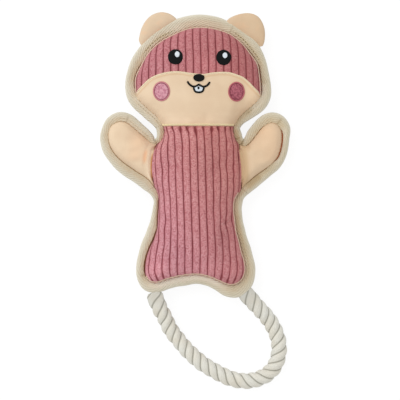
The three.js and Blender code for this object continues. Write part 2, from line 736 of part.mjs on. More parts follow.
// A raised line of stitches along a route over the skin, of one width, with a section [sideways, up]
const ridge = [[-1, 0], [1, 0], [0, 1]];
function stitchLine(route, width, closed) {
  const count = route.length;
  const vertices = [];
  const faces = [];
  route.forEach((at, i) => {
    const before = closed ? route[(i + count - 1) % count] : route[Math.max(0, i - 1)];
    const after = closed ? route[(i + 1) % count] : route[Math.min(count - 1, i + 1)];
    const across = new THREE.Vector2(before.y - after.y, after.x - before.x).setLength(width / 2);
    ridge.forEach(([sideways, up]) => {
      const point = at.clone().addScaledVector(across, sideways);
      vertices.push(new THREE.Vector3(point.x, point.y, headSurface(point) + pieceGap + threadHeight * up));
    });
  });
  const spans = closed ? count : count - 1;
  const corners = ridge.length;
  for (let i = 0; i < spans; i++) {
    const here = i * corners;
    const next = ((i + 1) % count) * corners;
    for (let c = 0; c < corners; c++) {
      const d = (c + 1) % corners;
      faces.push([here + c, here + d, next + d], [here + c, next + d, next + c]);
    }
  }
  const end = (count - 1) * corners;
  if (!closed) faces.push([2, 1, 0], [end, end + 1, end + 2]);
  return solidFromFaces(vertices, faces);
}

[['left', left], ['right', right]].forEach(([word, side]) => {
  const eye = onFace((side * eyeSpacing) / 2, eyeRiseShare, eyeShiftShare);
  addPatch(`eye_${word}`, eye, eyeWidth, eyeHeight, pieceGap, blackThread);
  const glint = eye.clone().add(new THREE.Vector2(glintShift, glintRise));
  addPatch(`eye_glint_${word}`, glint, glintWidth, glintHeight, pieceGap * 2 + threadHeight, whiteThread);
  const cheek = onFace((side * cheekSpacing) / 2, cheekRiseShare, cheekShiftShare);
  const thread = side === left ? pinkThread : redThread;
  const inner = lineWidth + pieceGap;
  addPatch(`cheek_${word}`, cheek, cheekWidth - inner * 2, cheekHeight - inner * 2, pieceGap, thread);
  const ring = Array.from({ length: patchSpokes }, (_, i) => {
    const turn = (Math.PI * 2 * i) / patchSpokes;
    const x = (Math.cos(turn) * (cheekWidth - lineWidth)) / 2;
    const y = (Math.sin(turn) * (cheekHeight - lineWidth)) / 2;
    return cheek.clone().add(new THREE.Vector2(x, y));
  });
  addPiece(`cheek_stitch_${word}`, stitchLine(ring, lineWidth, true), redThread);
});
addPatch('nose', onFace(0, noseRiseShare, featureShiftShare), noseWidth, noseHeight, pieceGap, blackThread);

// Mouth: two curves that meet a ring round the teeth
const mouthMiddle = onFace(0, mouthRiseShare, featureShiftShare);
const toothMiddle = onFace(0, toothRiseShare, featureShiftShare);
const mouthSteps = 6;
const ringWidth = toothWidth + (lineWidth + pieceGap) * 2 - lineWidth;
const ringHeight = toothHeight + (lineWidth + pieceGap) * 2 - lineWidth;
const toothRing = Array.from({ length: patchSpokes }, (_, i) => {
  const turn = (Math.PI * 2 * i) / patchSpokes;
  const spoke = new THREE.Vector2((Math.cos(turn) * ringWidth) / 2, (Math.sin(turn) * ringHeight) / 2);
  return toothMiddle.clone().add(spoke);
});
function smile(side) {
  return Array.from({ length: mouthSteps + 1 }, (_, i) => {
    const share = i / mouthSteps;
    const x = side * (smileWidth / 2 + (ringWidth / 2 - smileWidth / 2) * share);
    const y = -smileHeight * Math.sin((share * Math.PI) / 2);
    return mouthMiddle.clone().add(new THREE.Vector2(x, y + smileHeight / 2));
  });
}
const mouthLine = [left, right].reduce(
  (line, side) => line.add(stitchLine(smile(side), lineWidth, false)),
  stitchLine(toothRing, lineWidth, true),
);
addPiece('mouth_line', mouthLine, blackThread);
addPatch('teeth', toothMiddle, toothWidth, toothHeight, pieceGap, whiteThread);

// Pale stitched edges of the muzzle, above its seam with the forehead and along the neck
const seamCurve = new THREE.SplineCurve(muzzleTopShares.slice(2, -2).map(onHead));
const seamSteps = 36;
const edgeRoute = seamCurve.getSpacedPoints(seamSteps).map((at) => (
  at.add(new THREE.Vector2(0, -edgeStitchWidth / 2 - pieceGap / 2))
));
addPiece('muzzle_top_stitch', stitchLine(edgeRoute, edgeStitchWidth, false), paleThread);
const neckHeight = headSurface(new THREE.Vector2(0, neckY)) - seamZ;
const neckStitchY = neckY + neckHeight * slope(neckTurn) + edgeStitchWidth;
const neckStitchSteps = 24;
const neckStitchShare = 0.46;
const neckRoute = Array.from({ length: neckStitchSteps + 1 }, (_, i) => {
  const across = (i / neckStitchSteps) * 2 - 1;
  return new THREE.Vector2((across * neckStitchShare * headPanelWidth) / 2, neckStitchY);
});
addPiece('muzzle_neck_stitch', stitchLine(neckRoute, edgeStitchWidth, false), paleThread);

// Rope tail: one length, with rounded ends that turn in the hem's two lobes
const ropeRadius = ropeDiameter / 2;
const ropePoints = ropeRoute.map(([x, y, under]) => new THREE.Vector3(x, y, under + ropeRadius));
const ropeShape = new THREE.Shape(Array.from({ length: ropeSides }, (_, i) => {
  const turn = (Math.PI * 2 * i) / ropeSides;
  return new THREE.Vector2(Math.cos(turn) * ropeRadius, Math.sin(turn) * ropeRadius);
}));
const ropeBody = solidOf(new THREE.ExtrudeGeometry(ropeShape, {
  steps: ropeSteps,
  extrudePath: new THREE.CatmullRomCurve3(ropePoints),
  bevelEnabled: false,
}));
const ropeEndFacets = 12;
const ropeEndRings = 8;
function ropeEnd(at) {
  const ball = new THREE.SphereGeometry(ropeRadius, ropeEndFacets, ropeEndRings);
  return solidOf(ball.translate(at.x, at.y, at.z));
}
addPiece(
  'tail_rope',
  ropeBody.add(ropeEnd(first(ropePoints))).add(ropeEnd(last(ropePoints))),
  cottonRope,
);

export default toy;
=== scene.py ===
# Stuffed dog toy with a rope tail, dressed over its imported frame.
# Shapes are worked out in millimetres and become metres when a mesh is made. Colours are written as sRGB.
import math

import bpy
import numpy as np
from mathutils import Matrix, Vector, noise
from mathutils.bvhtree import BVHTree
from mathutils.geometry import delaunay_2d_cdt


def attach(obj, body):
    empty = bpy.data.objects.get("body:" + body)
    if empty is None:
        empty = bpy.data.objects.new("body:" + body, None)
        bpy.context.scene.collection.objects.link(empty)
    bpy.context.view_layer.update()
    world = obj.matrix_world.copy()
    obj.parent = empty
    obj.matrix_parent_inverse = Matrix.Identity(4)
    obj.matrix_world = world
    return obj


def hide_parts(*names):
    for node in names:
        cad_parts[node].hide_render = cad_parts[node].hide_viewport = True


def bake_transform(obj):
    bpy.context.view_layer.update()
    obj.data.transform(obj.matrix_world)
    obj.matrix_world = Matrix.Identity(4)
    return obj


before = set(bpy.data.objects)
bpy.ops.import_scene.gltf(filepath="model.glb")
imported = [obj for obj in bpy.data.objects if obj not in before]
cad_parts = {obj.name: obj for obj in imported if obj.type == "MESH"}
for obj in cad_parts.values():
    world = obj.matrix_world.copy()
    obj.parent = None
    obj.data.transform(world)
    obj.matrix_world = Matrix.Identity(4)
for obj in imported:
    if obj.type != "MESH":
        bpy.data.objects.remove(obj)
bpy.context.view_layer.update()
mm = 0.001
seamZ = 13.85  # height of the seams between the toy's front and back
seamGap = 0.15  # how far the cloths keep off that height
offFloor = 0.02
clearOfEdge = 0.28  # points of a cloth that are nearer to its edge than this are left out

# camera
camera = {"lens": 300, "sensor": 36, "across": 340, "middle": (1.7, 5.1)}


def addCamera():
    data = bpy.data.cameras.new("camera")
    data.lens = camera["lens"]
    data.sensor_width = camera["sensor"]
    away = camera["across"] * camera["lens"] / camera["sensor"]
    data.clip_end = away * mm * 4
    eye = bpy.data.objects.new("camera", data)
    eye.location = (camera["middle"][0] * mm, camera["middle"][1] * mm, (seamZ + away) * mm)
    bpy.context.collection.objects.link(eye)
    bpy.context.scene.camera = eye


addCamera()

# small helpers
def linear(colour):
    # sRGB, 0 to 255, as linear values
    return tuple(c / 255 / 12.92 if c / 255 <= 0.04045 else ((c / 255 + 0.055) / 1.055) ** 2.4 for c in colour)


def smooth(low, high, x):
    t = np.clip((np.asarray(x, float) - low) / (high - low), 0, 1)
    return t * t * (3 - 2 * t)


def curveAndStarts(points, step, closed=False):
    # Catmull-Rom curve through the points, with a new point about every step; other columns are carried along.
    # It comes with the index on the curve of each of the points.
    p = np.asarray(points, float)
    count = len(p)
    out, starts = [], []
    for i in range(count if closed else count - 1):
        if closed:
            a, b, c, d = (p[(i + k) % count] for k in (-1, 0, 1, 2))
        else:
            b, c = p[i], p[i + 1]
            a = p[i - 1] if i else 2 * b - c
            d = p[i + 2] if i + 2 < count else 2 * c - b
        n = max(2, int(round(np.linalg.norm((c - b)[:2]) / step)))
        t = (np.arange(n) / n)[:, None]
        starts.append(sum(len(o) for o in out))
        squared, cubed = (2 * a - 5 * b + 4 * c - d) * t ** 2, (3 * b - a - 3 * c + d) * t ** 3
        out.append(0.5 * (2 * b + (c - a) * t + squared + cubed))
    if not closed:
        starts.append(sum(len(o) for o in out))
        out.append(p[-1:])
    return np.concatenate(out), starts


def throughPoints(points, step, closed=False):
    return curveAndStarts(points, step, closed)[0]


def alongOf(line):
    # distance travelled along a line at each of its points
    return np.concatenate([[0], np.cumsum(np.linalg.norm(np.diff(line, axis=0), axis=1))])


def insideLoop(xy, loop):
    hit = np.zeros(len(xy), bool)
    x, y = xy[:, 0], xy[:, 1]
    for (x1, y1), (x2, y2) in zip(loop, np.roll(loop, -1, axis=0)):
        if y1 != y2:
            cross = (y1 > y) != (y2 > y)
            hit ^= cross & (x < (x2 - x1) * (y - y1) / (y2 - y1) + x1)
    return hit


def nearLoop(xy, loop, closed=True):
    # distance from each point to the nearest stretch of a line
    ends = np.roll(loop, -1, axis=0) if closed else loop[1:]
    starts = loop if closed else loop[:-1]
    best = np.full(len(xy), 1e9)
    for a, b in zip(starts, ends):
        run = b - a
        size = run @ run
        if size < 1e-12:
            continue
        t = np.clip(((xy - a) @ run) / size, 0, 1)[:, None]
        best = np.minimum(best, np.linalg.norm(xy - a - t * run, axis=1))
    return best


def depthInside(xy, loop):
    # mean distance to the loop in all directions: 0 on the edge, greatest in the middle
    pull = np.zeros(len(xy))
    onLoop = np.zeros(len(xy), bool)
    for p, q in zip(loop, np.roll(loop, -1, axis=0)):
        edge = q - p
        size = math.hypot(*edge)
        if size < 1e-9:
            continue
        a, b = p - xy, q - xy
        off = (a[:, 0] * b[:, 1] - a[:, 1] * b[:, 0]) / size
        onLoop |= (np.abs(off) < 1e-5) & (a @ edge < 1e-5) & (b @ edge > -1e-5)
        safe = np.where(np.abs(off) < 1e-7, 1e-7, off)
        along = [(v @ edge) / np.maximum(np.hypot(v[:, 0], v[:, 1]), 1e-9) for v in (a, b)]
        span = along[1] - along[0]
        pull += np.where(np.abs(off) < 1e-7, 0, span / size / safe)
    depth = 2 / np.where(np.abs(pull) < 1e-9, 1e-9, pull)
    return np.where(insideLoop(xy, loop) & ~onLoop, np.clip(depth, 0, 100), 0)


def rough(xy, size, seed=0.0, detail=1):
    # smooth noise about 0, with bumps about this far apart
    out = np.empty(len(xy))
    for i, (x, y) in enumerate(xy):
        out[i] = noise.noise(Vector((x / size, y / size, seed)))
        if detail > 1:
            out[i] += 0.5 * noise.noise(Vector((2.1 * x / size, 2.1 * y / size, seed + 7.7)))
    return out


def meshOf(name, points, faces, material, uv=None):
    mesh = bpy.data.meshes.new(name)
    mesh.from_pydata((np.asarray(points, float) * mm).tolist(), [], [list(map(int, f)) for f in faces])
    mesh.validate()
    if uv is not None:
        layer = mesh.uv_layers.new(name="cloth")
        index = np.empty(len(mesh.loops), int)
        mesh.loops.foreach_get("vertex_index", index)
        layer.data.foreach_set("uv", np.asarray(uv, float)[index].ravel())
    mesh.polygons.foreach_set("use_smooth", [True] * len(mesh.polygons))
    mesh.update()
    obj = bpy.data.objects.new(name, mesh)
    bpy.context.collection.objects.link(obj)
    mesh.materials.append(material)
    return obj


def addMark(obj, name, values):
    # a number at each point, which a material can read by name
    data = obj.data.attributes.new(name, "FLOAT", "POINT")
    data.data.foreach_set("value", np.asarray(values, float))


def planOf(loop, inner, clear):
    # triangles, facing up, over the loop and those inner points that keep clear of it
    inner = inner[insideLoop(inner, loop)]
    inner = inner[nearLoop(inner, loop) > clear]
    plan = [Vector(p) for p in np.concatenate([loop, inner])]
    found = delaunay_2d_cdt(plan, [], [list(range(len(loop)))], 1, 1e-6)
    xy = np.array([tuple(v) for v in found[0]])
    faces = np.array([f for f in found[2] if len(f) == 3])
    flat = xy[faces]
    turn = np.cross(flat[:, 1] - flat[:, 0], flat[:, 2] - flat[:, 0])
    return xy, np.where((turn < 0)[:, None], faces[:, ::-1], faces)[np.abs(turn) > 1e-9]


def clothPiece(name, loop, inner, outerZ, innerZ, material, uvOf=None, marks=None):
    # a closed layer of cloth: its outside and inside faces over one plan, and the cut edge between them
    xy, faces = planOf(np.asarray(loop, float), inner, clearOfEdge)
    z1, z2 = outerZ(xy), innerZ(xy)
    above = np.mean(z1) > np.mean(z2)
    top, low = (z1, z2) if above else (z2, z1)
    n = len(xy)
    edges = {}
    for a, b, c in faces:
        for e in ((a, b), (b, c), (c, a)):
            edges[e] = True
    rim = [e for e in edges if (e[1], e[0]) not in edges]
    points = np.concatenate([np.column_stack([xy, top]), np.column_stack([xy, low])])
    walls = [(a + n, b + n, b, a) for a, b in rim]
    polys = [tuple(f) for f in faces] + [tuple(f[::-1] + n) for f in faces] + walls
    uv = None
    if uvOf is not None:
        one = uvOf(xy)
        uv = np.concatenate([one, one])
    obj = meshOf(name, points, polys, material, uv)
    for key, markOf in (marks or {}).items():
        one = markOf(xy)
        addMark(obj, key, np.concatenate([one, one]))
    return obj


def latticeOver(loop, step):
    # points a step apart, every other row moved over by half a step
    low, high = np.min(loop, axis=0), np.max(loop, axis=0)
    rowStep = step * 0.866
    xs = np.arange(low[0], high[0] + step, step)
    ys = np.arange(low[1], high[1] + rowStep, rowStep)
    rows = [np.column_stack([xs + (0.5 * step if k % 2 else 0), np.full(len(xs), y)]) for k, y in enumerate(ys)]
    return np.concatenate(rows)


def gridOf(xs, ys):
    return np.column_stack([np.tile(xs, len(ys)), np.repeat(ys, len(xs))])


def fromGrid(xy, xs, ys, steps, layers):
    # what each layer, known at the grid's points, is in between them
    fx = np.clip((xy[:, 0] - xs[0]) / steps[0], 0, len(xs) - 1.001)
    fy = np.clip((xy[:, 1] - ys[0]) / steps[1], 0, len(ys) - 1.001)
    i, j = fx.astype(int), fy.astype(int)
    u, v = fx - i, fy - j
    return [(g[j, i] * (1 - u) + g[j, i + 1] * u) * (1 - v) + (g[j + 1, i] * (1 - u) + g[j + 1, i + 1] * u) * v
            for g in layers]


# outline of the toy, as in the source of the frame
body = {
    "headWidth": 110, "headHeight": 85, "bellyWidth": 87, "length": 136, "shoulderHalf": 36.5, "shoulderDrop": 12,
    "armReach": 40, "armDepth": 44, "backSwell": 12, "armFrontSwell": 10, "armBackSwell": 9,
    "tapeWidth": 8, "settleShare": 0.6, "skin": 2.2, "hem": 1,
}
neckY = body["length"] / 2
shoulderY = neckY - body["shoulderDrop"]


def onHead(shares):
    return [[a * body["headWidth"] / 2, neckY + b * body["headHeight"], *rest] for a, b, *rest in shares]


def onBody(shares):
    return [[a * body["bellyWidth"] / 2, neckY - b * body["length"], *rest] for a, b, *rest in shares]


def onArm(side, shares):
    return [[side * (body["shoulderHalf"] + a * body["armReach"]), shoulderY - b * body["armDepth"], *rest]
            for a, b, *rest in shares]


# Points of the panel edge, anticlockwise from the crown: across, along, and the tape's share of its width
stretches = {
    "headLeft": onHead([
        [0.03, 0.991, 1.28], [-0.181, 0.971, 1.33], [-0.39, 0.914, 1.36], [-0.598, 0.839, 1.2],
        [-0.773, 0.73, 1.1], [-0.884, 0.607, 1.16], [-0.969, 0.488, 0.97], [-0.976, 0.381, 0.99],
        [-0.951, 0.303, 0.98], [-0.88, 0.237, 0.98], [-0.775, 0.175, 1], [-0.674, 0.12, 1],
        [-0.591, 0.062, 0.95], [-0.542, -0.007, 0.81]]),
    "neckLeft": onBody([
        [-0.665, 0.048, 0.81], [-0.728, 0.095, 0.6]]),
    "armLeft": onArm(-1, [
        [0.021, 0.079, 0.56], [0.16, 0.0, 0.81], [0.298, -0.106, 0.96], [0.447, -0.221, 1],
        [0.596, -0.327, 1], [0.755, -0.356, 0.98], [0.904, -0.298, 0.86], [0.983, -0.183, 0.73],
        [0.994, -0.038, 0.84], [0.947, 0.125, 0.95], [0.84, 0.279, 0.96], [0.691, 0.413, 1.04],
        [0.532, 0.519, 1.1], [0.362, 0.621, 1.14], [0.191, 0.721, 1.17], [0.053, 0.846, 1.1],
        [-0.043, 1.0, 0.77]]),
    "bodyLeft": onBody([
        [-0.767, 0.463, 0.52], [-0.766, 0.512, 0.62], [-0.78, 0.57, 0.77], [-0.791, 0.636, 0.98],
        [-0.848, 0.7, 1.03], [-0.935, 0.76, 0.98], [-1.002, 0.821, 0.93], [-1.031, 0.881, 0.94],
        [-1.021, 0.936, 0.94], [-0.938, 0.971, 1.07]]),
    "hem": onBody([
        [-0.801, 0.979, 1.05], [-0.592, 0.957, 1.05], [-0.316, 0.937, 1.07], [-0.02, 0.929, 1.01],
        [0.214, 0.944, 0.97], [0.412, 0.97, 1.02], [0.591, 0.993, 1.25]]),
    "bodyRight": onBody([
        [0.75, 0.988, 1.42], [0.872, 0.955, 1.27], [0.93, 0.899, 1.06], [0.907, 0.839, 0.98],
        [0.851, 0.779, 1.03], [0.808, 0.718, 0.89], [0.751, 0.654, 0.94], [0.728, 0.59, 0.8],
        [0.705, 0.525, 0.81], [0.718, 0.468, 0.88]]),
    "armRight": onArm(1, [
        [-0.057, 1.041, 0.79], [0.053, 0.904, 0.94], [0.191, 0.779, 1.01], [0.34, 0.667, 1],
        [0.511, 0.558, 0.94], [0.66, 0.452, 0.91], [0.777, 0.308, 0.87], [0.84, 0.135, 0.84],
        [0.862, -0.038, 0.86], [0.847, -0.192, 1.05], [0.766, -0.302, 1.1], [0.649, -0.335, 1.08],
        [0.521, -0.288, 1.04], [0.404, -0.183, 1.05], [0.309, -0.067, 1.02], [0.213, 0.038, 0.85],
        [0.097, 0.118, 0.82]]),
    "neckRight": onBody([
        [0.783, 0.108, 0.75], [0.705, 0.056, 0.81]]),
    "headRight": onHead([
        [0.558, -0.008, 0.65], [0.614, 0.067, 0.8], [0.698, 0.13, 1], [0.806, 0.19, 1.12],
        [0.912, 0.252, 1.15], [0.971, 0.317, 1.11], [0.971, 0.4, 1.06], [0.956, 0.502, 0.96],
        [0.923, 0.618, 0.96], [0.806, 0.73, 1.24], [0.666, 0.84, 1.14], [0.485, 0.925, 1.1],
        [0.264, 0.974, 1.23]]),
}
headBelowNeck = onHead([[-0.5, -0.1], [-0.27, -0.14], [0, -0.15], [0.27, -0.14], [0.51, -0.1]])
bodyAboveNeck = onBody([[0.63, -0.04], [0.34, -0.07], [0, -0.08], [-0.34, -0.07], [-0.63, -0.04]])
muzzleTop = onHead([
    [-0.97, 0.32], [-0.853, 0.4], [-0.76, 0.46], [-0.651, 0.505], [-0.543, 0.535], [-0.434, 0.55],
    [-0.326, 0.555], [-0.217, 0.551], [-0.109, 0.544], [0.02, 0.544], [0.109, 0.545], [0.217, 0.551],
    [0.341, 0.557], [0.465, 0.551], [0.574, 0.525], [0.682, 0.49], [0.775, 0.44], [0.868, 0.375],
    [0.97, 0.31]])
# Where the belly is sewn to each arm, from the neck's notch down to the armpit
armSeamGuide = {
    "left": [[-34.6, 54.6], [-36.9, 48], [-38.6, 40], [-39.2, 32], [-38.4, 24], [-36.4, 16.5]],
    "right": [[36.4, 55.0], [35.0, 47], [35.9, 39], [36.7, 31], [36.8, 22], [35.4, 14]],
}

allPoints, firstOf = [], {}
for name, points in stretches.items():
    firstOf[name] = len(allPoints)
    allPoints += points
edge, edgeStarts = curveAndStarts(allPoints, 1.0, closed=True)
edgeXY = edge[:, :2]
around = np.roll(edgeXY, -2, axis=0) - np.roll(edgeXY, 2, axis=0)
edgeOut = np.column_stack([around[:, 1], -around[:, 0]])
edgeOut /= np.linalg.norm(edgeOut, axis=1)[:, None]
for turn in range(6):
    edgeOut = (np.roll(edgeOut, 1, axis=0) + 2 * edgeOut + np.roll(edgeOut, -1, axis=0)) / 4
edgeOut /= np.linalg.norm(edgeOut, axis=1)[:, None]
edgeTape = edge[:, 2] * body["tapeWidth"]
wholeEdge = np.arange(len(edgeXY))


def edgeIndex(stretch, number):
    # place on the dense edge of a stretch's point; -1 is its last
    if number < 0:
        number += len(stretches[stretch])
    return edgeStarts[firstOf[stretch] + number]


def edgeRange(start, stop):
    # dense edge points from one place to another, anticlockwise
    count = len(edgeXY)
    return np.arange(start, stop + 1 if stop >= start else stop + 1 + count) % count


def nearestEdge(x, y, indices):
    gap = np.linalg.norm(edgeXY[indices] - (x, y), axis=1)
    return int(indices[int(np.argmin(gap))])


neckLeftI = nearestEdge(-31, neckY, edgeRange(edgeIndex("headLeft", 10), edgeIndex("neckLeft", -1)))
neckRightI = nearestEdge(31.6, neckY, edgeRange(edgeIndex("neckRight", 0), edgeIndex("headRight", 2)))


def armSeamPoint(side, end, low, high):
    # where an end of the seam's guide comes nearest to the edge, between two of its points
    return nearestEdge(*armSeamGuide[side][end], edgeRange(edgeIndex(*low), edgeIndex(*high)))


armTopLeftI = armSeamPoint("left", 0, ("neckLeft", 0), ("armLeft", 2))
armPitLeftI = armSeamPoint("left", -1, ("armLeft", 10), ("bodyLeft", 2))
armPitRightI = armSeamPoint("right", -1, ("bodyRight", -2), ("armRight", 4))
armTopRightI = armSeamPoint("right", 0, ("armRight", 12), ("neckRight", -1))
armSeam = {}
for side, top, pit in (("left", armTopLeftI, armPitLeftI), ("right", armTopRightI, armPitRightI)):
    armSeam[side] = throughPoints([list(edgeXY[top]), *armSeamGuide[side][1:-1], list(edgeXY[pit])], 1.0)
print("outline:", len(edgeXY), "points")


def edgeLine(start, stop, every=1):
    return edgeXY[edgeRange(start, stop)][::every]


def bodyRound(fromNeck, toNeck):
    # down the left side, round the hem and up the right side, thinned out
    return [edgeLine(fromNeck, armTopLeftI, 2), armSeam["left"][1:-1:3], edgeLine(armPitLeftI, armPitRightI, 3),
            armSeam["right"][-2:0:-3], edgeLine(armTopRightI, toNeck, 2)]


# Loops that the swelling is worked out from
headSwellLoop = np.concatenate([
    edgeLine(edgeIndex("headRight", 0), edgeIndex("headLeft", -1), 3), np.array(headBelowNeck)])
bodySwellLoop = np.concatenate([
    *bodyRound(edgeIndex("neckLeft", 0), edgeIndex("neckRight", -1)), np.array(bodyAboveNeck)])
# Each arm's stretch of the edge, and its seam from there back, both anticlockwise
armEdges = {"left": edgeRange(armTopLeftI, armPitLeftI), "right": edgeRange(armPitRightI, armTopRightI)}
armSeamBack = {"left": armSeam["left"][-2:0:-1], "right": armSeam["right"][1:-1]}
armLoops = {side: np.concatenate([edgeXY[armEdges[side]], armSeamBack[side]]) for side in armEdges}

# swelling of the stuffed cloth
swell = {
    "head": {"front": 17.2, "crown": 15.9, "power": 0.43},
    "chest": {"front": 18.6, "crown": 16.04, "power": 0.5},
    "hips": {"front": 16.0, "crown": 16.04, "power": 0.42},
    "arm": {"left": 8.75, "right": 8.45, "power": 0.5},  # the crown on each side
    # the head begins this far from the neck seam, and the hips between these heights
    "neckSoft": 9, "hipsBetween": (18, -30),
    # the neck seam's valley: how deep, how wide
    "neckValley": (1.5, 2.4), "backValley": (1.2, 2.6),
    # how high the cloth still is at the arms' seams, and how far that reaches
    "armSeamLift": (6.4, 6.5), "backSeamLift": (3.2, 5),
    # along an arm's side of its seam: how high, how far from the seam, how wide
    "armFold": (0.9, 2.9, 1.2), "armValley": (1.2, 0.3, 0.9), "armFurrow": (0.5, 6.4, 1.3),
    "armLumps": 0.16,
}


def frontRise(depth, height, crown, power):
    # rises steeply from the edge and levels off at the crown
    t = np.maximum(depth, 0) / crown
    return height * (t / (1 + (t / 1.12) ** 6) ** (1 / 6)) ** power


def backRise(depth, height, crown):
    short = 1 - np.minimum(1, depth / (body["settleShare"] * crown))
    return height * np.sqrt(np.maximum(0, 1 - short * short))


def skinAt(depth):
    return body["hem"] + (body["skin"] - body["hem"]) * np.minimum(1, depth / 3)


def liftAt(key, toSeam):
    high, reach = swell[key]
    return high * (1 - smooth(0, reach, toSeam))


def seamLift(xy, toSeam):
    # the seams with the arms are drawn less deep than the tape, except close to it
    clear = smooth(1.5, 7, nearLoop(xy, edgeXY[::3]))
    return liftAt("armSeamLift", toSeam) * clear


def toArmSeams(xy):
    return np.minimum(nearLoop(xy, armSeam["left"], False), nearLoop(xy, armSeam["right"], False))


def neckBlend(y):
    # 0 on the body, 1 on the head
    return smooth(neckY - swell["neckSoft"], neckY + swell["neckSoft"], y)


def swollen(xy, parts, rise):
    # how far the cloth stands off the seams' height, from a few parts that share each place by their weights
    out = np.zeros(len(xy))
    for loop, key, weight in parts:
        use = weight > 0
        if use.any():
            depth = depthInside(xy[use], loop)
            out[use] += weight[use] * (rise(depth, swell[key]) + skinAt(depth))
    return out


def neckDip(key, y, off):
    deep, wide = swell[key]
    return deep * np.exp(-((y - neckY) / wide) ** 2) * smooth(2, 9, off)


def trunkPlain(xy):
    # height of the cloth over head and body, before its folds and ribs
    y = xy[:, 1]
    share = neckBlend(y)
    low = smooth(*swell["hipsBetween"], y)
    parts = ((headSwellLoop, "head", share), (bodySwellLoop, "chest", (1 - share) * (1 - low)),
             (bodySwellLoop, "hips", (1 - share) * low))
    up = swollen(xy, parts, lambda depth, form: frontRise(depth, form["front"], form["crown"], form["power"]))
    up -= neckDip("neckValley", y, up)
    up = np.maximum(up, seamLift(xy, toArmSeams(xy)) + body["hem"])
    return seamZ + seamGap + up


def trunkBack(xy):
    share = neckBlend(xy[:, 1])
    parts = ((headSwellLoop, "head", share), (bodySwellLoop, "chest", 1 - share))
    down = swollen(xy, parts, lambda depth, form: backRise(depth, body["backSwell"], form["crown"]))
    down -= neckDip("backValley", xy[:, 1], down)
    down = np.maximum(down, liftAt("backSeamLift", toArmSeams(xy)) + body["hem"])
    return np.maximum(offFloor, seamZ - seamGap - down)


def armPlain(side):
    def height(xy):
        depth = depthInside(xy, armLoops[side][::3])
        up = frontRise(depth, body["armFrontSwell"], swell["arm"][side], swell["arm"]["power"]) + skinAt(depth)
        toSeam = nearLoop(xy, armSeam[side], False)
        up = np.maximum(up, seamLift(xy, toSeam) + body["hem"])
        near = smooth(0.5, 4, depth)
        lines = (swell[key] for key in ("armFold", "armValley", "armFurrow"))
        fold, valley, furrow = (high * np.exp(-((toSeam - off) / wide) ** 2) for high, off, wide in lines)
        up += near * (fold - valley)
        up -= near * furrow
        return seamZ + seamGap + up + swell["armLumps"] * rough(xy, 9, 3.1, 2) * smooth(0, 4, depth)
    return height


def armBack(side):
    def height(xy):
        depth = depthInside(xy, armLoops[side][::3])
        down = backRise(depth, body["armBackSwell"], swell["arm"][side])
        return np.maximum(offFloor, seamZ - seamGap - down - skinAt(depth))
    return height


# The filling blows the cloth up: coarse sheets are sewn down at their seams and pushed out in a cloth simulation,
# and the folds and puckers that they get are laid on the finished pieces
stuffing = {
    "step": 2.6, "armStep": 2.1, "scale": 4.0, "start": 0.97, "ripple": 0.05, "held": 0.8, "frames": 20, "quality": 5,
    "pressure": 4.0, "slack": 0.012, "mass": 0.3, "stretching": 15, "shearing": 5, "bending": 8.0,
    # the greatest height and sideways shift of the folds, and how wide a swelling isn't counted as one
    "most": 1.0, "sideMost": 1.2, "even": 8,
}


def softened(grid, within, reach):
    # each place becomes the mean of those within reach of it
    total, weight = grid * within, within.astype(float)
    for turn in range(2 * reach * reach):
        for axis in (0, 1):
            total = (np.roll(total, 1, axis) + 2 * total + np.roll(total, -1, axis)) / 4
            weight = (np.roll(weight, 1, axis) + 2 * weight + np.roll(weight, -1, axis)) / 4
    return total / np.maximum(weight, 1e-6)


def stuffedSheet(name, xy, faces, low, held):
    # where the points of the sheet end up
    mesh = bpy.data.meshes.new(name)
    mesh.from_pydata((np.column_stack([xy, low]) * mm * stuffing["scale"]).tolist(), [], faces.tolist())
    sheet = bpy.data.objects.new(name, mesh)
    bpy.context.collection.objects.link(sheet)
    sewn = sheet.vertex_groups.new(name="sewn")
    sewn.add([int(i) for i in held], 1.0, "REPLACE")
    cloth = sheet.modifiers.new("stuffed", "CLOTH")
    settings = cloth.settings
    settings.quality = stuffing["quality"]
    settings.mass = stuffing["mass"]
    settings.tension_stiffness = settings.compression_stiffness = stuffing["stretching"]
    settings.shear_stiffness = stuffing["shearing"]
    settings.bending_stiffness = stuffing["bending"]
    settings.vertex_group_mass = "sewn"
    settings.use_pressure = True
    settings.uniform_pressure_force = stuffing["pressure"]
    settings.shrink_min = -stuffing["slack"]
    settings.effector_weights.gravity = 0
    cloth.collision_settings.use_collision = False
    cloth.point_cache.frame_start, cloth.point_cache.frame_end = 1, stuffing["frames"]
    for step in range(1, stuffing["frames"] + 1):
        bpy.context.scene.frame_set(step)
    shaped = sheet.evaluated_get(bpy.context.evaluated_depsgraph_get()).to_mesh()
    after = np.empty(len(shaped.vertices) * 3)
    shaped.vertices.foreach_get("co", after)
    bpy.context.scene.frame_set(1)
    bpy.data.objects.remove(sheet)
    bpy.data.meshes.remove(mesh)
    return after.reshape(-1, 3) / mm / stuffing["scale"]


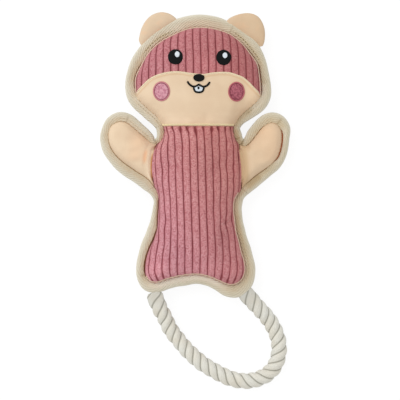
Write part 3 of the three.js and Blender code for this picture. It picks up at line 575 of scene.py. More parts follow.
def blownUp(name, loop, plain, step, sewnLines=()):
    # how far the simulated cloth is moved across, along and up, as a function of place
    xy, faces = planOf(loop, latticeOver(loop, step), 0.5 * step)
    toSeam = nearLoop(xy, loop)
    for line in sewnLines:
        toSeam = np.minimum(toSeam, nearLoop(xy, line, False))
    low = (plain(xy) - seamZ) * stuffing["start"] + stuffing["ripple"] * rough(xy, 5, 1.0)
    after = stuffedSheet(name, xy, faces, low, np.flatnonzero(toSeam < stuffing["held"]))
    shift = after[:, :2] - xy
    tree = BVHTree.FromPolygons(after.tolist(), faces.tolist())
    (x0, y0), (x1, y1) = loop.min(axis=0), loop.max(axis=0)
    xs, ys = np.arange(x0 - 2, x1 + 3), np.arange(y0 - 2, y1 + 3)
    places = gridOf(xs, ys)
    grid, struck = np.zeros((len(places), 3)), np.zeros(len(places), bool)
    for k, (x, y) in enumerate(places):
        hit = tree.ray_cast(Vector((x, y, 90)), Vector((0, 0, -1)))
        if hit[2] is not None:
            struck[k] = True
            grid[k] = (*shift[faces[hit[2]]].mean(axis=0), hit[0].z)
    grid[struck, 2] -= plain(places[struck]) - seamZ
    fade = (smooth(0.5, 3.5, nearLoop(places, loop)) * struck).reshape(len(ys), len(xs))
    within = struck.reshape(len(ys), len(xs))
    layers = []
    for k, most in enumerate((stuffing["sideMost"], stuffing["sideMost"], stuffing["most"])):
        layer = grid[:, k].reshape(len(ys), len(xs))
        if k == 2:
            layer = layer - softened(layer, within, stuffing["even"])
        layers.append(np.clip(softened(layer, within, 1), -most, most) * fade)
    print(name, len(xy), "points, folds up to", round(float(np.abs(layers[2]).max()), 2), "mm")
    return lambda xy: fromGrid(xy, xs, ys, (1, 1), layers)


stuffedLoop = np.concatenate([edgeLine(neckRightI, neckLeftI, 3), *bodyRound(neckLeftI, neckRightI)])
neckSeam = np.array([[-31, neckY], [31, neckY]])
folds = {"trunk": blownUp("stuffed_trunk", stuffedLoop, trunkPlain, stuffing["step"], [neckSeam])}
for side in ("left", "right"):
    folds[side] = blownUp("stuffed_arm_" + side, armLoops[side][::2], armPlain(side), stuffing["armStep"])


def trunkFront(xy):
    return trunkPlain(xy) + folds["trunk"](xy)[2]


def armFront(side):
    plain = armPlain(side)
    return lambda xy: plain(xy) + folds[side](xy)[2]


# finishes
def newMaterial(name, roughness, specular=0.5, sheen=0.0, more=None):
    # with it come its tree and the place on the object, in metres
    material = bpy.data.materials.new(name)
    material.use_nodes = True
    tree = material.node_tree
    sockets = {"Roughness": roughness, "Specular IOR Level": specular, "Sheen Weight": sheen, **(more or {})}
    for socket, value in sockets.items():
        tree.nodes["Principled BSDF"].inputs[socket].default_value = value
    return material, tree, node(tree, "ShaderNodeTexCoord").outputs["Object"]


def node(tree, kind, inputs=None, **settings):
    made = tree.nodes.new(kind)
    for key, value in settings.items():
        setattr(made, key, value)
    for key, value in (inputs or {}).items():
        if isinstance(value, bpy.types.NodeSocket):
            tree.links.new(value, made.inputs[key])
        else:
            made.inputs[key].default_value = value
    return made


def number(tree, kind, a, b=0.0, c=0.0):
    return node(tree, "ShaderNodeMath", {0: a, 1: b, 2: c}, operation=kind).outputs[0]


def mixed(tree, share, a, b, kind="MIX"):
    made = node(tree, "ShaderNodeMix", data_type="RGBA", blend_type=kind)
    for key, value in ((0, share), (6, a), (7, b)):
        if isinstance(value, bpy.types.NodeSocket):
            tree.links.new(value, made.inputs[key])
        elif key == 0:
            made.inputs[0].default_value = value
        else:
            made.inputs[key].default_value = (*value[:3], 1)
    return made.outputs[2]


def spread(tree, value, fromLow, fromHigh, toLow=0.0, toHigh=1.0, softly=False):
    kind = "SMOOTHSTEP" if softly else "LINEAR"
    inputs = {0: value, 1: fromLow, 2: fromHigh, 3: toLow, 4: toHigh}
    return node(tree, "ShaderNodeMapRange", inputs, interpolation_type=kind).outputs[0]


def grain(tree, coords, size, detail=2.0, roughness=0.55, stretch=None):
    # noise with bumps of this size in millimetres
    if stretch is not None:
        coords = node(tree, "ShaderNodeMapping", {0: coords, 3: stretch}).outputs[0]
    inputs = {"Vector": coords, "Scale": 1000 / size, "Detail": detail, "Roughness": roughness}
    return node(tree, "ShaderNodeTexNoise", inputs).outputs[0]


def layered(tree, base, *layers):
    # colours of (share, colour), laid one on the other
    for share, colour in layers:
        base = mixed(tree, share, base, linear(colour))
    return base


def finished(material, colour, *bumps):
    # the colour, and bumps of (height, depth in millimetres), one on the other
    tree = material.node_tree
    bsdf = tree.nodes["Principled BSDF"]
    tree.links.new(colour, bsdf.inputs["Base Color"])
    normal = None
    for height, deep in bumps:
        made = node(tree, "ShaderNodeBump", {"Height": height, "Strength": 1.0, "Distance": deep * mm})
        if normal is not None:
            tree.links.new(normal, made.inputs["Normal"])
        normal = made.outputs[0]
    tree.links.new(normal, bsdf.inputs["Normal"])
    return material


def clothPlace(tree):
    # the mesh's own two coordinates, in millimetres
    uv = node(tree, "ShaderNodeUVMap", uv_map="cloth").outputs[0]
    split = node(tree, "ShaderNodeSeparateXYZ", {0: uv})
    return uv, split.outputs[0], split.outputs[1]


def fineGrain(tree, where, size=0.8, detail=3):
    return grain(tree, where, size, detail, 0.7)


def darker(colour, share):
    return tuple(c * share for c in colour)


corduroyLook = {
    "rib": (214, 150, 153), "dark": (180, 104, 110), "groove": (134, 62, 68), "pale": (230, 180, 182),
    "hemShade": (150, 102, 66), "fleck": (150, 80, 86), "sheen": (240, 190, 190),
    "pitch": 6.4, "ribHeight": 1.1, "grooveHalf": 0.9, "gatherHalf": 1.6, "thickness": 1.2, "fadeIn": 1.6,
    "coolSide": (0.975, 1.0, 1.06), "warmSide": (1.03, 1.0, 0.88),  # linear factors, from the toy's left to its right
}


def readMark(tree, name):
    return node(tree, "ShaderNodeAttribute", attribute_name=name).outputs["Fac"]


def shadeTowardsRight(tree, where, most):
    # painted shade: 0 on the toy's left, up to this much on its right, away from the light
    across = node(tree, "ShaderNodeSeparateXYZ", {0: where}).outputs[0]
    return spread(tree, across, -20 * mm, 60 * mm, 0, most)


def tonedByMark(tree, base):
    # lighter or darker where the mesh's "tone" mark says so
    factor = number(tree, "ADD", readMark(tree, "tone"), 1.0)
    return node(tree, "ShaderNodeVectorMath", {0: base, 3: factor}, operation="SCALE").outputs[0]


def spotsOf(spots):
    # soft spots of (x, y, half width, half height, amount)
    def mark(xy):
        x, y = xy.T
        return sum(amount * np.exp(-((x - atX) / wide) ** 2 - ((y - atY) / high) ** 2)
                   for atX, atY, wide, high, amount in spots)
    return mark


def corduroyMaterial(name="corduroy", tone=1.0, warmRight=1.0, warmUp=(-0.45, 0.3)):
    look = dict(corduroyLook)
    for key in ("rib", "dark", "pale"):
        look[key] = tuple(c * t for c, t in zip(look[key], (1 - 0.55 * (1 - tone), tone, tone)))
    sheen = {"Sheen Roughness": 0.5, "Sheen Tint": (*linear(look["sheen"]), 1)}
    material, tree, where = newMaterial(name, 0.92, 0.15, 0.25, sheen)
    across, along = clothPlace(tree)[1:]
    shifted = number(tree, "ADD", across, spread(tree, grain(tree, where, 5.0), 0, 1, -0.35, 0.35))
    fromGroove = number(tree, "PINGPONG", shifted, look["pitch"] / 2)
    # the grooves' painted shade widens where the cloth is gathered into the neck seam
    half = spread(tree, along, 60.5, 67, look["grooveHalf"], look["gatherHalf"], softly=True)
    uneven = spread(tree, grain(tree, where, 5, 2, stretch=(1, 0.5, 1)), 0.3, 0.7, 0.7, 1.25)
    half = number(tree, "MULTIPLY", half, uneven)
    half = number(tree, "MULTIPLY_ADD", half, readMark(tree, "pucker"), half)
    groove = spread(tree, number(tree, "DIVIDE", fromGroove, half), 1.0, 0.15, softly=True)
    flank = spread(tree, fromGroove, 2.2, 0.7, softly=True)
    patches = grain(tree, where, 14, 3)
    tuft = grain(tree, where, 2.0, 3, 0.7)
    speck = grain(tree, where, 1.25, 2, 0.8)
    fleck = grain(tree, where, 1.0, 2, 0.7)
    base = layered(
        tree, linear(look["rib"]),
        (spread(tree, patches, 0.3, 0.7, 0, 0.42), look["dark"]),
        (spread(tree, tuft, 0.48, 0.58, 0, 0.6), look["dark"]),
        (spread(tree, speck, 0.52, 0.64, 0, 0.6), look["pale"]),
        (spread(tree, fleck, 0.56, 0.66, 0, 0.6), look["fleck"]),
        # painted shade on the ribs' flanks, darker towards the grooves
        (number(tree, "MULTIPLY", flank, 0.3), look["dark"]),
        # painted shade towards the toy's right
        (shadeTowardsRight(tree, where, 0.42), darker(look["dark"], 0.84)),
        # painted shade in the grooves between the ribs
        (groove, look["groove"]),
        # painted shade on the hem under the tape, which shows in the gaps beside it
        (spread(tree, readMark(tree, "rim"), 0.2, 0.8), look["hemShade"]))
    split = node(tree, "ShaderNodeSeparateXYZ", {0: where})
    toRight = spread(tree, split.outputs[0], -40 * mm, 35 * mm, 0, warmRight)
    upwards = spread(tree, split.outputs[1], -60 * mm, 50 * mm, *warmUp)
    warmth = number(tree, "ADD", toRight, upwards)
    base = mixed(tree, 1.0, base, mixed(tree, warmth, look["coolSide"], look["warmSide"]), "MULTIPLY")
    return finished(material, tonedByMark(tree, base), (tuft, 0.5), (fineGrain(tree, where, 0.9), 0.25))


suedeLook = {
    "left": (232, 208, 178), "right": (224, 198, 168), "dark": (212, 186, 154), "rightShade": (200, 164, 120),
    "foldHighlight": (250, 230, 200), "valleyShade": (184, 112, 50), "rimShade": (186, 144, 100), "rimReddishShade": (178, 92, 46),
    "edgeTan": (206, 164, 120), "blush": (242, 194, 154), "shadeTan": (192, 160, 118),
}


# which colour each mark of a suede piece brings, in the order they are laid on
suedeMarks = {
    # the fold's mark is a painted highlight; the marks beside it, in the seam's valley and on the rims under the tape
    # are painted shade
    "foldHighlight": "foldHighlight", "tint": "blush", "shade": "shadeTan", "valley": "valleyShade", "edgeLine": "edgeTan",
    "rim": "rimShade", "rust": "rimReddishShade",
}


def suedeMaterial(name="suede", tone=1.0, blush=0.0, rightShade=0.3):
    material, tree, where = newMaterial(name, 0.85, 0.15, 0.15)
    cloudy = grain(tree, where, 22, 2)
    fine = fineGrain(tree, where)
    left, right, dark = (darker(suedeLook[key], tone) for key in ("left", "right", "dark"))
    base = layered(
        tree, linear(left),
        (spread(tree, cloudy, 0.35, 0.65), right),
        (spread(tree, fine, 0.45, 0.75, 0, 0.22), dark),
        (spread(tree, grain(tree, where, 6, 2), 0.5, 0.68, 0, blush, softly=True), suedeLook["blush"]),
        # painted shade towards the toy's right
        (shadeTowardsRight(tree, where, rightShade), suedeLook["rightShade"]),
        *[(readMark(tree, mark), suedeLook[colour]) for mark, colour in suedeMarks.items()])
    return finished(material, tonedByMark(tree, base), (cloudy, 0.3), (fine, 0.06))


tapeLook = {
    "outer": (218, 210, 190), "inner": (216, 199, 172), "pale": (232, 225, 208), "dark": (182, 162, 128),
    "tan": (208, 184, 156), "edge": (226, 220, 202), "lip": (176, 146, 106), "hole": (122, 100, 70),
    "groove": (186, 168, 128), "paintedLight": (246, 238, 222), "rightShade": (194, 177, 132), "fold": (150, 126, 90),
    "olive": (172, 144, 100), "twill": 1.7, "twillSlope": 0.42, "stitchEvery": 2.6, "stitchIn": 2.9,
}


def tapeMaterial():
    look = tapeLook
    material, tree, where = newMaterial("ribbed_tape", 0.9, 0.15, 0.12)
    along, across = clothPlace(tree)[1:]
    share = readMark(tree, "share")  # 0 at the inner lip, 1 at the outer edge
    slant = number(tree, "ADD", number(tree, "MULTIPLY", along, look["twillSlope"]), across)
    slant = number(tree, "ADD", slant, spread(tree, grain(tree, where, 7, 2), 0, 1, -0.6, 0.6))
    twill = number(tree, "PINGPONG", slant, look["twill"] / 2)
    rib = spread(tree, twill, 0.05, look["twill"] / 2, softly=True)
    strength = spread(tree, grain(tree, where, 18, 2), 0.35, 0.65, 0.12, 0.45)
    betweenRibs = number(tree, "MULTIPLY", spread(tree, rib, 0, 1, 1, 0), strength)
    fine = fineGrain(tree, where)
    # needle holes in a row, a little out from the inner lip
    fromRow = number(tree, "ABSOLUTE", number(tree, "SUBTRACT", across, look["stitchIn"]))
    step = number(tree, "PINGPONG", along, look["stitchEvery"] / 2)
    inRow = spread(tree, fromRow, 0.55, 0.25, softly=True)
    hole = number(tree, "MULTIPLY", spread(tree, step, 0.7, 0.35, softly=True), inRow)
    furrow = spread(tree, fromRow, 0.8, 0.2, 0, 0.75, softly=True)
    rowSeen = readMark(tree, "stitched")
    # painted shade on the inner lip, where it stands off the panel
    lip = number(tree, "MULTIPLY", spread(tree, across, 0.75, 0.2, softly=True), readMark(tree, "open"))
    base = layered(
        tree, linear(look["inner"]),
        (spread(tree, share, 0.3, 0.7, softly=True), look["outer"]),
        (spread(tree, grain(tree, where, 9, 3), 0.45, 0.75, 0, 0.5), look["pale"]),
        # painted shade on the inner half
        (readMark(tree, "tan"), look["tan"]),
        # painted shade towards the toy's right
        (shadeTowardsRight(tree, where, 0.26), look["rightShade"]),
        (readMark(tree, "olive"), look["olive"]),
        (betweenRibs, look["dark"]),
        (spread(tree, fine, 0.45, 0.7, 0, 0.3), look["dark"]),
        # painted light on the outer edge, lifting the shade where the tape rolls under
        (spread(tree, share, 0.74, 0.95, 0, 0.6, softly=True), look["edge"]),
        (number(tree, "MULTIPLY", furrow, rowSeen), look["groove"]),
        (number(tree, "MULTIPLY", hole, rowSeen), look["hole"]),
        (lip, look["lip"]),
        # painted light on the inner half
        (readMark(tree, "light"), look["paintedLight"]),
        # painted shade in the creases
        (readMark(tree, "fold"), look["fold"]))
    return finished(material, base, (rib, 0.3), (fine, 0.12))


ropeLook = {"base": (231, 230, 221), "warm": (227, 221, 206), "dark": (202, 199, 185), "groove": (150, 147, 133)}


def ropeMaterial():
    look = ropeLook
    material, tree, where = newMaterial("cotton_rope", 0.9, 0.15, 0.12)
    yarnPlace = node(tree, "ShaderNodeMapping", {0: clothPlace(tree)[0], 3: (0.16, 1.5, 1.0)}).outputs[0]
    yarn = grain(tree, yarnPlace, 1000, 3.0, 0.6)
    base = layered(
        tree, linear(look["base"]),
        (spread(tree, grain(tree, where, 16, 2), 0.35, 0.7), look["warm"]),
        (spread(tree, yarn, 0.42, 0.68, 0, 0.35), look["dark"]),
        # painted shade in the grooves between the strands
        (spread(tree, readMark(tree, "lobe"), 0.5, 0.0, 0, 0.85, softly=True), look["groove"]))
    return finished(material, tonedByMark(tree, base), (yarn, 0.35), (fineGrain(tree, where, detail=2), 0.08))


def threadMaterial(name, base, dark, slant=0.0, gloss=0.55, textured=False):
    # embroidery: lines of thread along y, tilted by slant
    material, tree, where = newMaterial(name, gloss, 0.1)
    halfThread = 0.225 * mm
    turned = node(tree, "ShaderNodeMapping", {0: where, 2: (0, 0, slant)}).outputs[0]
    split = node(tree, "ShaderNodeSeparateXYZ", {0: turned})
    wander = spread(tree, grain(tree, where, 3, 2), 0, 1, -0.3 * mm, 0.3 * mm)
    line = number(tree, "ADD", split.outputs[0], wander)
    strand = spread(tree, number(tree, "PINGPONG", line, halfThread), 0, halfThread)
    colour = layered(tree, linear(base), (spread(tree, strand, 0.0, 0.6, 0.6, 0.0), dark))
    if textured:
        colour = layered(tree, colour, (spread(tree, grain(tree, where, 1.7, 2, 0.8), 0.46, 0.58, 0, 0.75), dark))
    return finished(material, colour, (strand, 0.14))


def ringMaterial(name, base, dark):
    # a hoop of satin stitches, with painted shade along its inside, where it meets the fill
    material, tree, where = newMaterial(name, 0.6, 0.1)
    along, across = clothPlace(tree)[1:]
    strand = spread(tree, number(tree, "PINGPONG", along, 0.3), 0, 0.3)
    colour = layered(
        tree, linear(base),
        (spread(tree, strand, 0, 0.6, 0.5, 0), dark),
        (spread(tree, grain(tree, where, 2, 2, 0.7), 0.45, 0.65, 0, 0.4), dark),
        (spread(tree, across, 0.1, 0.6, 0, 0.95, softly=True), darker(dark, 0.74)))
    return finished(material, colour, (strand, 0.14))


def edgeThreadMaterial(name, dark, light):
    # zigzag stitches: thread crossing the seam to and fro
    material, tree, where = newMaterial(name, 0.7, 0.2)
    along, across = clothPlace(tree)[1:]
    zig = number(tree, "PINGPONG", along, 0.6)
    offThread = number(tree, "ABSOLUTE", number(tree, "SUBTRACT", zig, spread(tree, across, -0.9, 0.9, 0.08, 0.52)))
    thread = spread(tree, offThread, 0.28, 0.08, softly=True)
    fine = fineGrain(tree, where, 0.6, 2)
    base = layered(tree, linear(dark), (thread, light), (spread(tree, fine, 0.45, 0.7, 0, 0.25), darker(dark, 0.88)))
    return finished(material, base, (thread, 0.25))


def cloudyMaterial(name, roughness, cloud, light, dark, deep):
    # two close tones in clouds; cloud is their size, detail and roughness
    material, tree, where = newMaterial(name, roughness)
    cloudy = grain(tree, where, *cloud)
    return finished(material, layered(tree, linear(light), (cloudy, dark)), (cloudy, deep))


corduroy = corduroyMaterial()
foreheadCorduroy = corduroyMaterial("forehead_corduroy", 0.885, warmRight=0.6, warmUp=(0.1, 0.1))
# the last number of each suede is its painted shade towards the toy's right
suede = suedeMaterial(rightShade=0.28)
armSuede = suedeMaterial("arm_suede", 0.995, rightShade=0.2)
earSuede = suedeMaterial("ear_suede", 0.965, blush=0.22, rightShade=0.36)
tape = tapeMaterial()
cottonRope = ropeMaterial()
blackThread = threadMaterial("black_thread", (22, 24, 24), (11, 12, 12), slant=0.5, gloss=0.8)
whiteThread = threadMaterial("white_thread", (232, 240, 246), (206, 216, 224), slant=1.2)
pinkThread = threadMaterial("pink_thread", (236, 180, 190), (184, 106, 128), slant=0.35, textured=True)
redThread = threadMaterial("red_thread", (198, 116, 129), (118, 49, 62), slant=0.35, textured=True)
threads = {"black_thread": blackThread, "white_thread": whiteThread, "pink_thread": pinkThread, "red_thread": redThread}
ringThreads = {"left": ringMaterial("ring_thread_left", (212, 142, 150), (168, 90, 104)),
               "right": ringMaterial("ring_thread_right", (196, 112, 120), (152, 72, 84))}
archThread = edgeThreadMaterial("arch_thread", (238, 212, 172), (255, 240, 208))
neckThread = edgeThreadMaterial("neck_thread", (232, 212, 166), (250, 234, 190))
edgingThread = edgeThreadMaterial("edging_thread", (216, 188, 160), (242, 222, 196))
filling = cloudyMaterial("fibre_filling", 1.0, (5, 4, 0.7), (246, 245, 240), (222, 220, 212), 1.2)
squeakerPlastic = cloudyMaterial("squeaker_plastic", 0.45, (8, 2), (244, 244, 240), (234, 233, 226), 0.1)
print("finishes made")

# where the cloth would turn from one body to another: the first body, and where the turn starts and ends, in metres;
# dress only bakes a piece given one in place
seamMetres = round(seamZ * mm, 5)
neckBend = ("torso", (0, 0.048, seamMetres), (0, 0.068, seamMetres))
neckTapeBend = ("torso", (0, 0.058, seamMetres), (0, 0.0672, seamMetres))


def armBend(side, start=0.0395, stop=0.052):
    reach = -1 if side == "left" else 1
    return "torso", (reach * start, 0.03, seamMetres), (reach * stop, 0.03, seamMetres)


def dress(piece, solid, bodyName, bend=None):
    # the piece takes the place of a solid of the frame; without a bend it goes with a body, with one it is only baked
    # in place
    if solid is not None:
        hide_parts(solid)
    if bend is None:
        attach(piece, bodyName)
    else:
        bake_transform(piece)


def tubeFaces(rings, sides, turned=False):
    # four-sided faces between one ring of points and the next, and a cap at each end
    faces = []
    for k in range(rings - 1):
        for j in range(sides):
            i = (j + 1) % sides
            quad = (k * sides + j, (k + 1) * sides + j, (k + 1) * sides + i, k * sides + i)
            faces.append(quad[3:] + quad[:3] if turned else quad)
    last = (rings - 1) * sides
    return faces + [tuple(range(sides)), tuple(range(last + sides - 1, last - 1, -1))]


# rope tail
rope = {
    "diameter": 13.2, "lay": 25.2, "strandRadius": 4.85, "strandOut": 2.0, "sides": 54, "step": 0.9, "uneven": 0.03,
    # towards its sewn roots, by distance from them: it is this flat, broader, narrow at the very end, its strands
    # are less plain, and it is darker at the first and at the second root
    "flat": 0.34, "flatBetween": (5.5, 16.5), "broader": 0.08, "broaderBetween": (6, 17), "narrow": 0.35,
    "narrowOver": 3.5, "lobed": 0.15, "lobedBetween": (7, 14), "shade": (-0.14, -0.2), "shadeBetween": (8, 20),
    "route": [
        [-37.6, -73.4, 7.25], [-36.4, -77.2, 7.25],
        [-35.4, -80.4, 7.25], [-33.1, -85.5, 6.6], [-31.5, -89.3, 5.5], [-28.9, -93.5, 4],
        [-25.9, -100.3, 1.9], [-22.1, -107.1, 0.6], [-18, -112.3, 0.1], [-14, -117.3, 0.1],
        [-9.6, -122.4, 0.1], [-3.8, -127.9, 0.1], [3.8, -134.3, 0.1], [11.5, -139, 0.1],
        [19.1, -143.2, 0.1], [27.2, -146.8, 0.1], [35.7, -148.8, 0.1], [44.2, -148.9, 0.1],
        [52.3, -146.9, 0.1], [59.5, -143, 0.1], [65, -136.9, 0.1], [68, -129.6, 0.1],
        [69.1, -122, 0.1], [68.4, -114.3, 0.1], [65.9, -106.7, 0.1], [62.1, -99.5, 0.7],
        [57.4, -93.1, 2.6], [51.9, -87.1, 5.2], [44.6, -78.9, 7.25],
        [41.4, -75.4, 7.25], [38.6, -72.4, 7.25]],
}


def addRope():
    radius, n = rope["diameter"] / 2, rope["sides"]
    route = np.array(rope["route"])
    route[:, 2] += radius
    dense = throughPoints(route, 0.3)
    travelled = alongOf(dense)
    count = int(travelled[-1] / rope["step"])
    at = np.linspace(0, travelled[-1], count + 1)
    line = np.column_stack([np.interp(at, travelled, dense[:, k]) for k in range(3)])
    heading = np.gradient(line, axis=0)
    heading /= np.linalg.norm(heading, axis=1)[:, None]
    side = np.cross(heading, (0, 0, 1.0))
    side /= np.linalg.norm(side, axis=1)[:, None]
    up = np.cross(side, heading)
    # the strands' outline, a rounded three-lobed ring
    turn = np.linspace(0, 2 * math.pi, n, endpoint=False)
    near = (turn + math.pi / 3) % (2 * math.pi / 3) - math.pi / 3
    c, r = rope["strandOut"], rope["strandRadius"]
    lobe = c * np.cos(near) + np.sqrt(r * r - (c * np.sin(near)) ** 2)
    lobeShare = (lobe - lobe.min()) / (lobe.max() - lobe.min())
    fromRoot = np.minimum(at, travelled[-1] - at)
    flat, lobed = (rope[key] + (1 - rope[key]) * smooth(*rope[key + "Between"], fromRoot) for key in ("flat", "lobed"))
    broad = 1 + rope["broader"] * (1 - smooth(*rope["broaderBetween"], fromRoot))
    broad -= rope["narrow"] * np.clip(1 - fromRoot / rope["narrowOver"], 0, 1) ** 2
    shade = np.where(at < travelled[-1] / 2, *rope["shade"]) * (1 - smooth(*rope["shadeBetween"], fromRoot))
    uneven = [1 + rope["uneven"] * noise.noise(Vector((s / 17, 0.5, 3.3))) for s in at]
    points, uv = [], []
    for k in range(count + 1):
        angle = turn - 2 * math.pi * at[k] / rope["lay"]
        size = (lobe * lobed[k] + lobe.mean() * (1 - lobed[k])) * uneven[k]
        a, b = np.cos(angle) * size * broad[k], np.sin(angle) * size * flat[k]
        points.append(line[k] + a[:, None] * side[k] + b[:, None] * up[k])
        uv.append(np.column_stack([np.full(n, at[k]), turn * radius]))
    points = np.concatenate(points)
    points[:, 2] = np.maximum(points[:, 2], offFloor)
    obj = meshOf("twisted_rope", points, tubeFaces(count + 1, n), cottonRope, np.concatenate(uv))
    addMark(obj, "lobe", np.tile(lobeShare, count + 1))
    addMark(obj, "tone", np.repeat(shade, n))
    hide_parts("tail_rope")
    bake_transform(obj)


addRope()

# corduroy panels
# The middle groove of each panel, [x, y]
grooves = {
    "belly": [[-1.8, 68], [-1.7, 63.8], [-0.8, 56], [-0.3, 39], [0.4, 13.6], [1.2, -12], [2.0, -37.4], [1.6, -53],
              [1.6, -70]],
    "forehead": [[1.8, 156], [1.8, 146], [2.0, 136], [2.4, 131], [2.6, 121], [2.7, 110], [2.7, 90]],
}


# Where the belly's ribs are pinched at the waist:
# x, y, half width, half height, how far they are pulled across, and the slope and the depth of the crease
waistPinches = [
    (25.5, -13.5, 8, 6, 1.8, 0.6, 1.5), (-29.0, -11.0, 5, 6, -1.4, -0.5, 1.0), (-31.5, -30, 6, 7, -1.2, -0.5, 0.6)]
# Lighter and darker places: x, y, half width, half height, how much
# Along the belly's hem and at its lower left the lighter places are painted light, lifting the shade where the cloth
# turns in
corduroyTones = {
    "forehead": [(8, 119, 14, 7, 0.14)],
    "belly": [
        (10, 38, 13, 24, -0.13), (19, -27, 7, 18, -0.14), (-22, 45, 12, 22, -0.07), (-2, -54, 36, 8, 0.16),
        (-33, -54, 7, 9, 0.14), (-22, -40, 11, 15, -0.06), (20, -50, 9, 10, -0.05)],
}
# Puckers, where the grooves' painted shade is drawn wider: x, y, half width, half height, how much
puckers = [
    (-2.1, 62.2, 2, 2.2, 1.6), (11.6, 65, 2, 2, 1.4), (18, 65.8, 2, 1.5, 1.2), (-12.7, 63.9, 3, 1.8, 1.4),
    (-17, 66, 2, 1.8, 1.4), (-6.8, 66.8, 2, 1.8, 1.2), (20.3, -61, 3, 2.4, 1.5), (25.6, -64.4, 3, 2.2, 1.5),
    (32.5, -62.3, 3, 2, 1.5), (-37.6, -62.6, 3, 2, 1.5), (-31.8, -60.2, 3, 2.2, 1.5), (22.2, -13.8, 2.5, 1.8, 1.1),
    (27, -8.5, 2, 2.6, 1.0), (-29.2, -11, 2, 2.6, 1.0)]
# How the ribs are gathered into the neck seam: over how far, how much they wander and wave, are drawn aside and rise
gather = {
    "over": 10, "wander": 1.7, "wave": 0.45, "aside": 1.2, "asideOver": 7, "rise": 0.8, "riseOver": 6, "rough": 0.5,
}
# The grid that the ribs are measured on, and how they turn in towards the middle near the hem
ribRun = {"steps": (0.5, 1.0), "turnBelow": -54, "turnOver": 11, "turnMost": 1.3, "turnShare": 0.11}


def clothAcross(loop, baseHeight, middle):
    # distance across the cloth from its middle groove, as a function of place
    stepX, stepY = ribRun["steps"]
    low, high = np.min(loop, axis=0) - 2, np.max(loop, axis=0) + 2
    xs = np.arange(low[0], high[0] + stepX, stepX)
    ys = np.arange(low[1], high[1] + stepY, stepY)
    z = baseHeight(gridOf(xs, ys)).reshape(len(ys), len(xs))
    run = np.minimum(np.sqrt(stepX ** 2 + np.diff(z, axis=1) ** 2), 3 * stepX)
    total = np.concatenate([np.zeros((len(ys), 1)), np.cumsum(run, axis=1)], axis=1)
    line = np.array(sorted(middle, key=lambda p: p[1]))
    centre = np.interp(ys, line[:, 1], line[:, 0])
    for k in range(len(ys)):
        total[k] -= np.interp(centre[k], xs, total[k])
    calm = int(np.clip(round((ribRun["turnBelow"] - ys[0]) / stepY), 0, len(ys) - 1))
    for k in range(calm):
        t = min(ribRun["turnMost"], (ribRun["turnBelow"] - ys[k]) / ribRun["turnOver"])
        places = centre[calm] + (xs - centre[calm]) * (1 + ribRun["turnShare"] * t * t)
        total[k] = np.interp(places, xs, total[calm])
    for turn in range(3):
        total[1:-1] = (total[:-2] + 2 * total[1:-1] + total[2:]) / 4

    def across(xy):
        return fromGrid(xy, xs, ys, ribRun["steps"], [total])[0]

    def lattice(stepAcross, stepAlong):
        # points in rows along the ribs
        rows = []
        for y in np.arange(loop[:, 1].min() + stepAlong / 2, loop[:, 1].max(), stepAlong):
            row = across(np.column_stack([xs, np.full(len(xs), y)]))
            want = np.arange(math.ceil(row[0] / stepAcross), math.floor(row[-1] / stepAcross)) * stepAcross
            x = np.interp(want, row, xs)
            rows.append(np.column_stack([x, np.full(len(x), y)]))
        return np.concatenate(rows)
    return across, lattice


def ribHeight(across):
    # rounded ribs with narrow grooves between them
    pitch = corduroyLook["pitch"]
    phase = np.abs((across / pitch) % 1 - 0.5) * 2
    return corduroyLook["ribHeight"] * (1 - 0.3 * phase ** 2 - 0.7 * phase ** 8)


def pinch(xy, across):
    # the ribs are gathered into the neck seam, and pulled in at the waist
    x, y = xy.T
    near = 1 - smooth(0, gather["over"], neckY - y)
    sideways = gather["aside"] * (1 - smooth(0, gather["asideOver"], neckY - y)) * (1 - smooth(-4, 16, x))
    wander = gather["wander"] * rough(np.column_stack([across, y]), 7.0, 5.5)
    out = sideways + near * (wander + gather["wave"] * np.sin(y / 1.2 + across * 0.5))
    for atX, atY, wide, high, pull, lean, _ in waistPinches:
        out = out + pull * np.exp(-((x - atX) / wide) ** 2 - ((y - atY - lean * (x - atX)) / high) ** 2)
    return out - folds["trunk"](xy)[0]


def crease(xy):
    x, y = xy.T
    return sum(deep * np.exp(-((x - atX) / (0.55 * wide)) ** 2 - ((y - atY - lean * (x - atX)) / 1.3) ** 2)
               for atX, atY, wide, _, _, lean, deep in waistPinches)


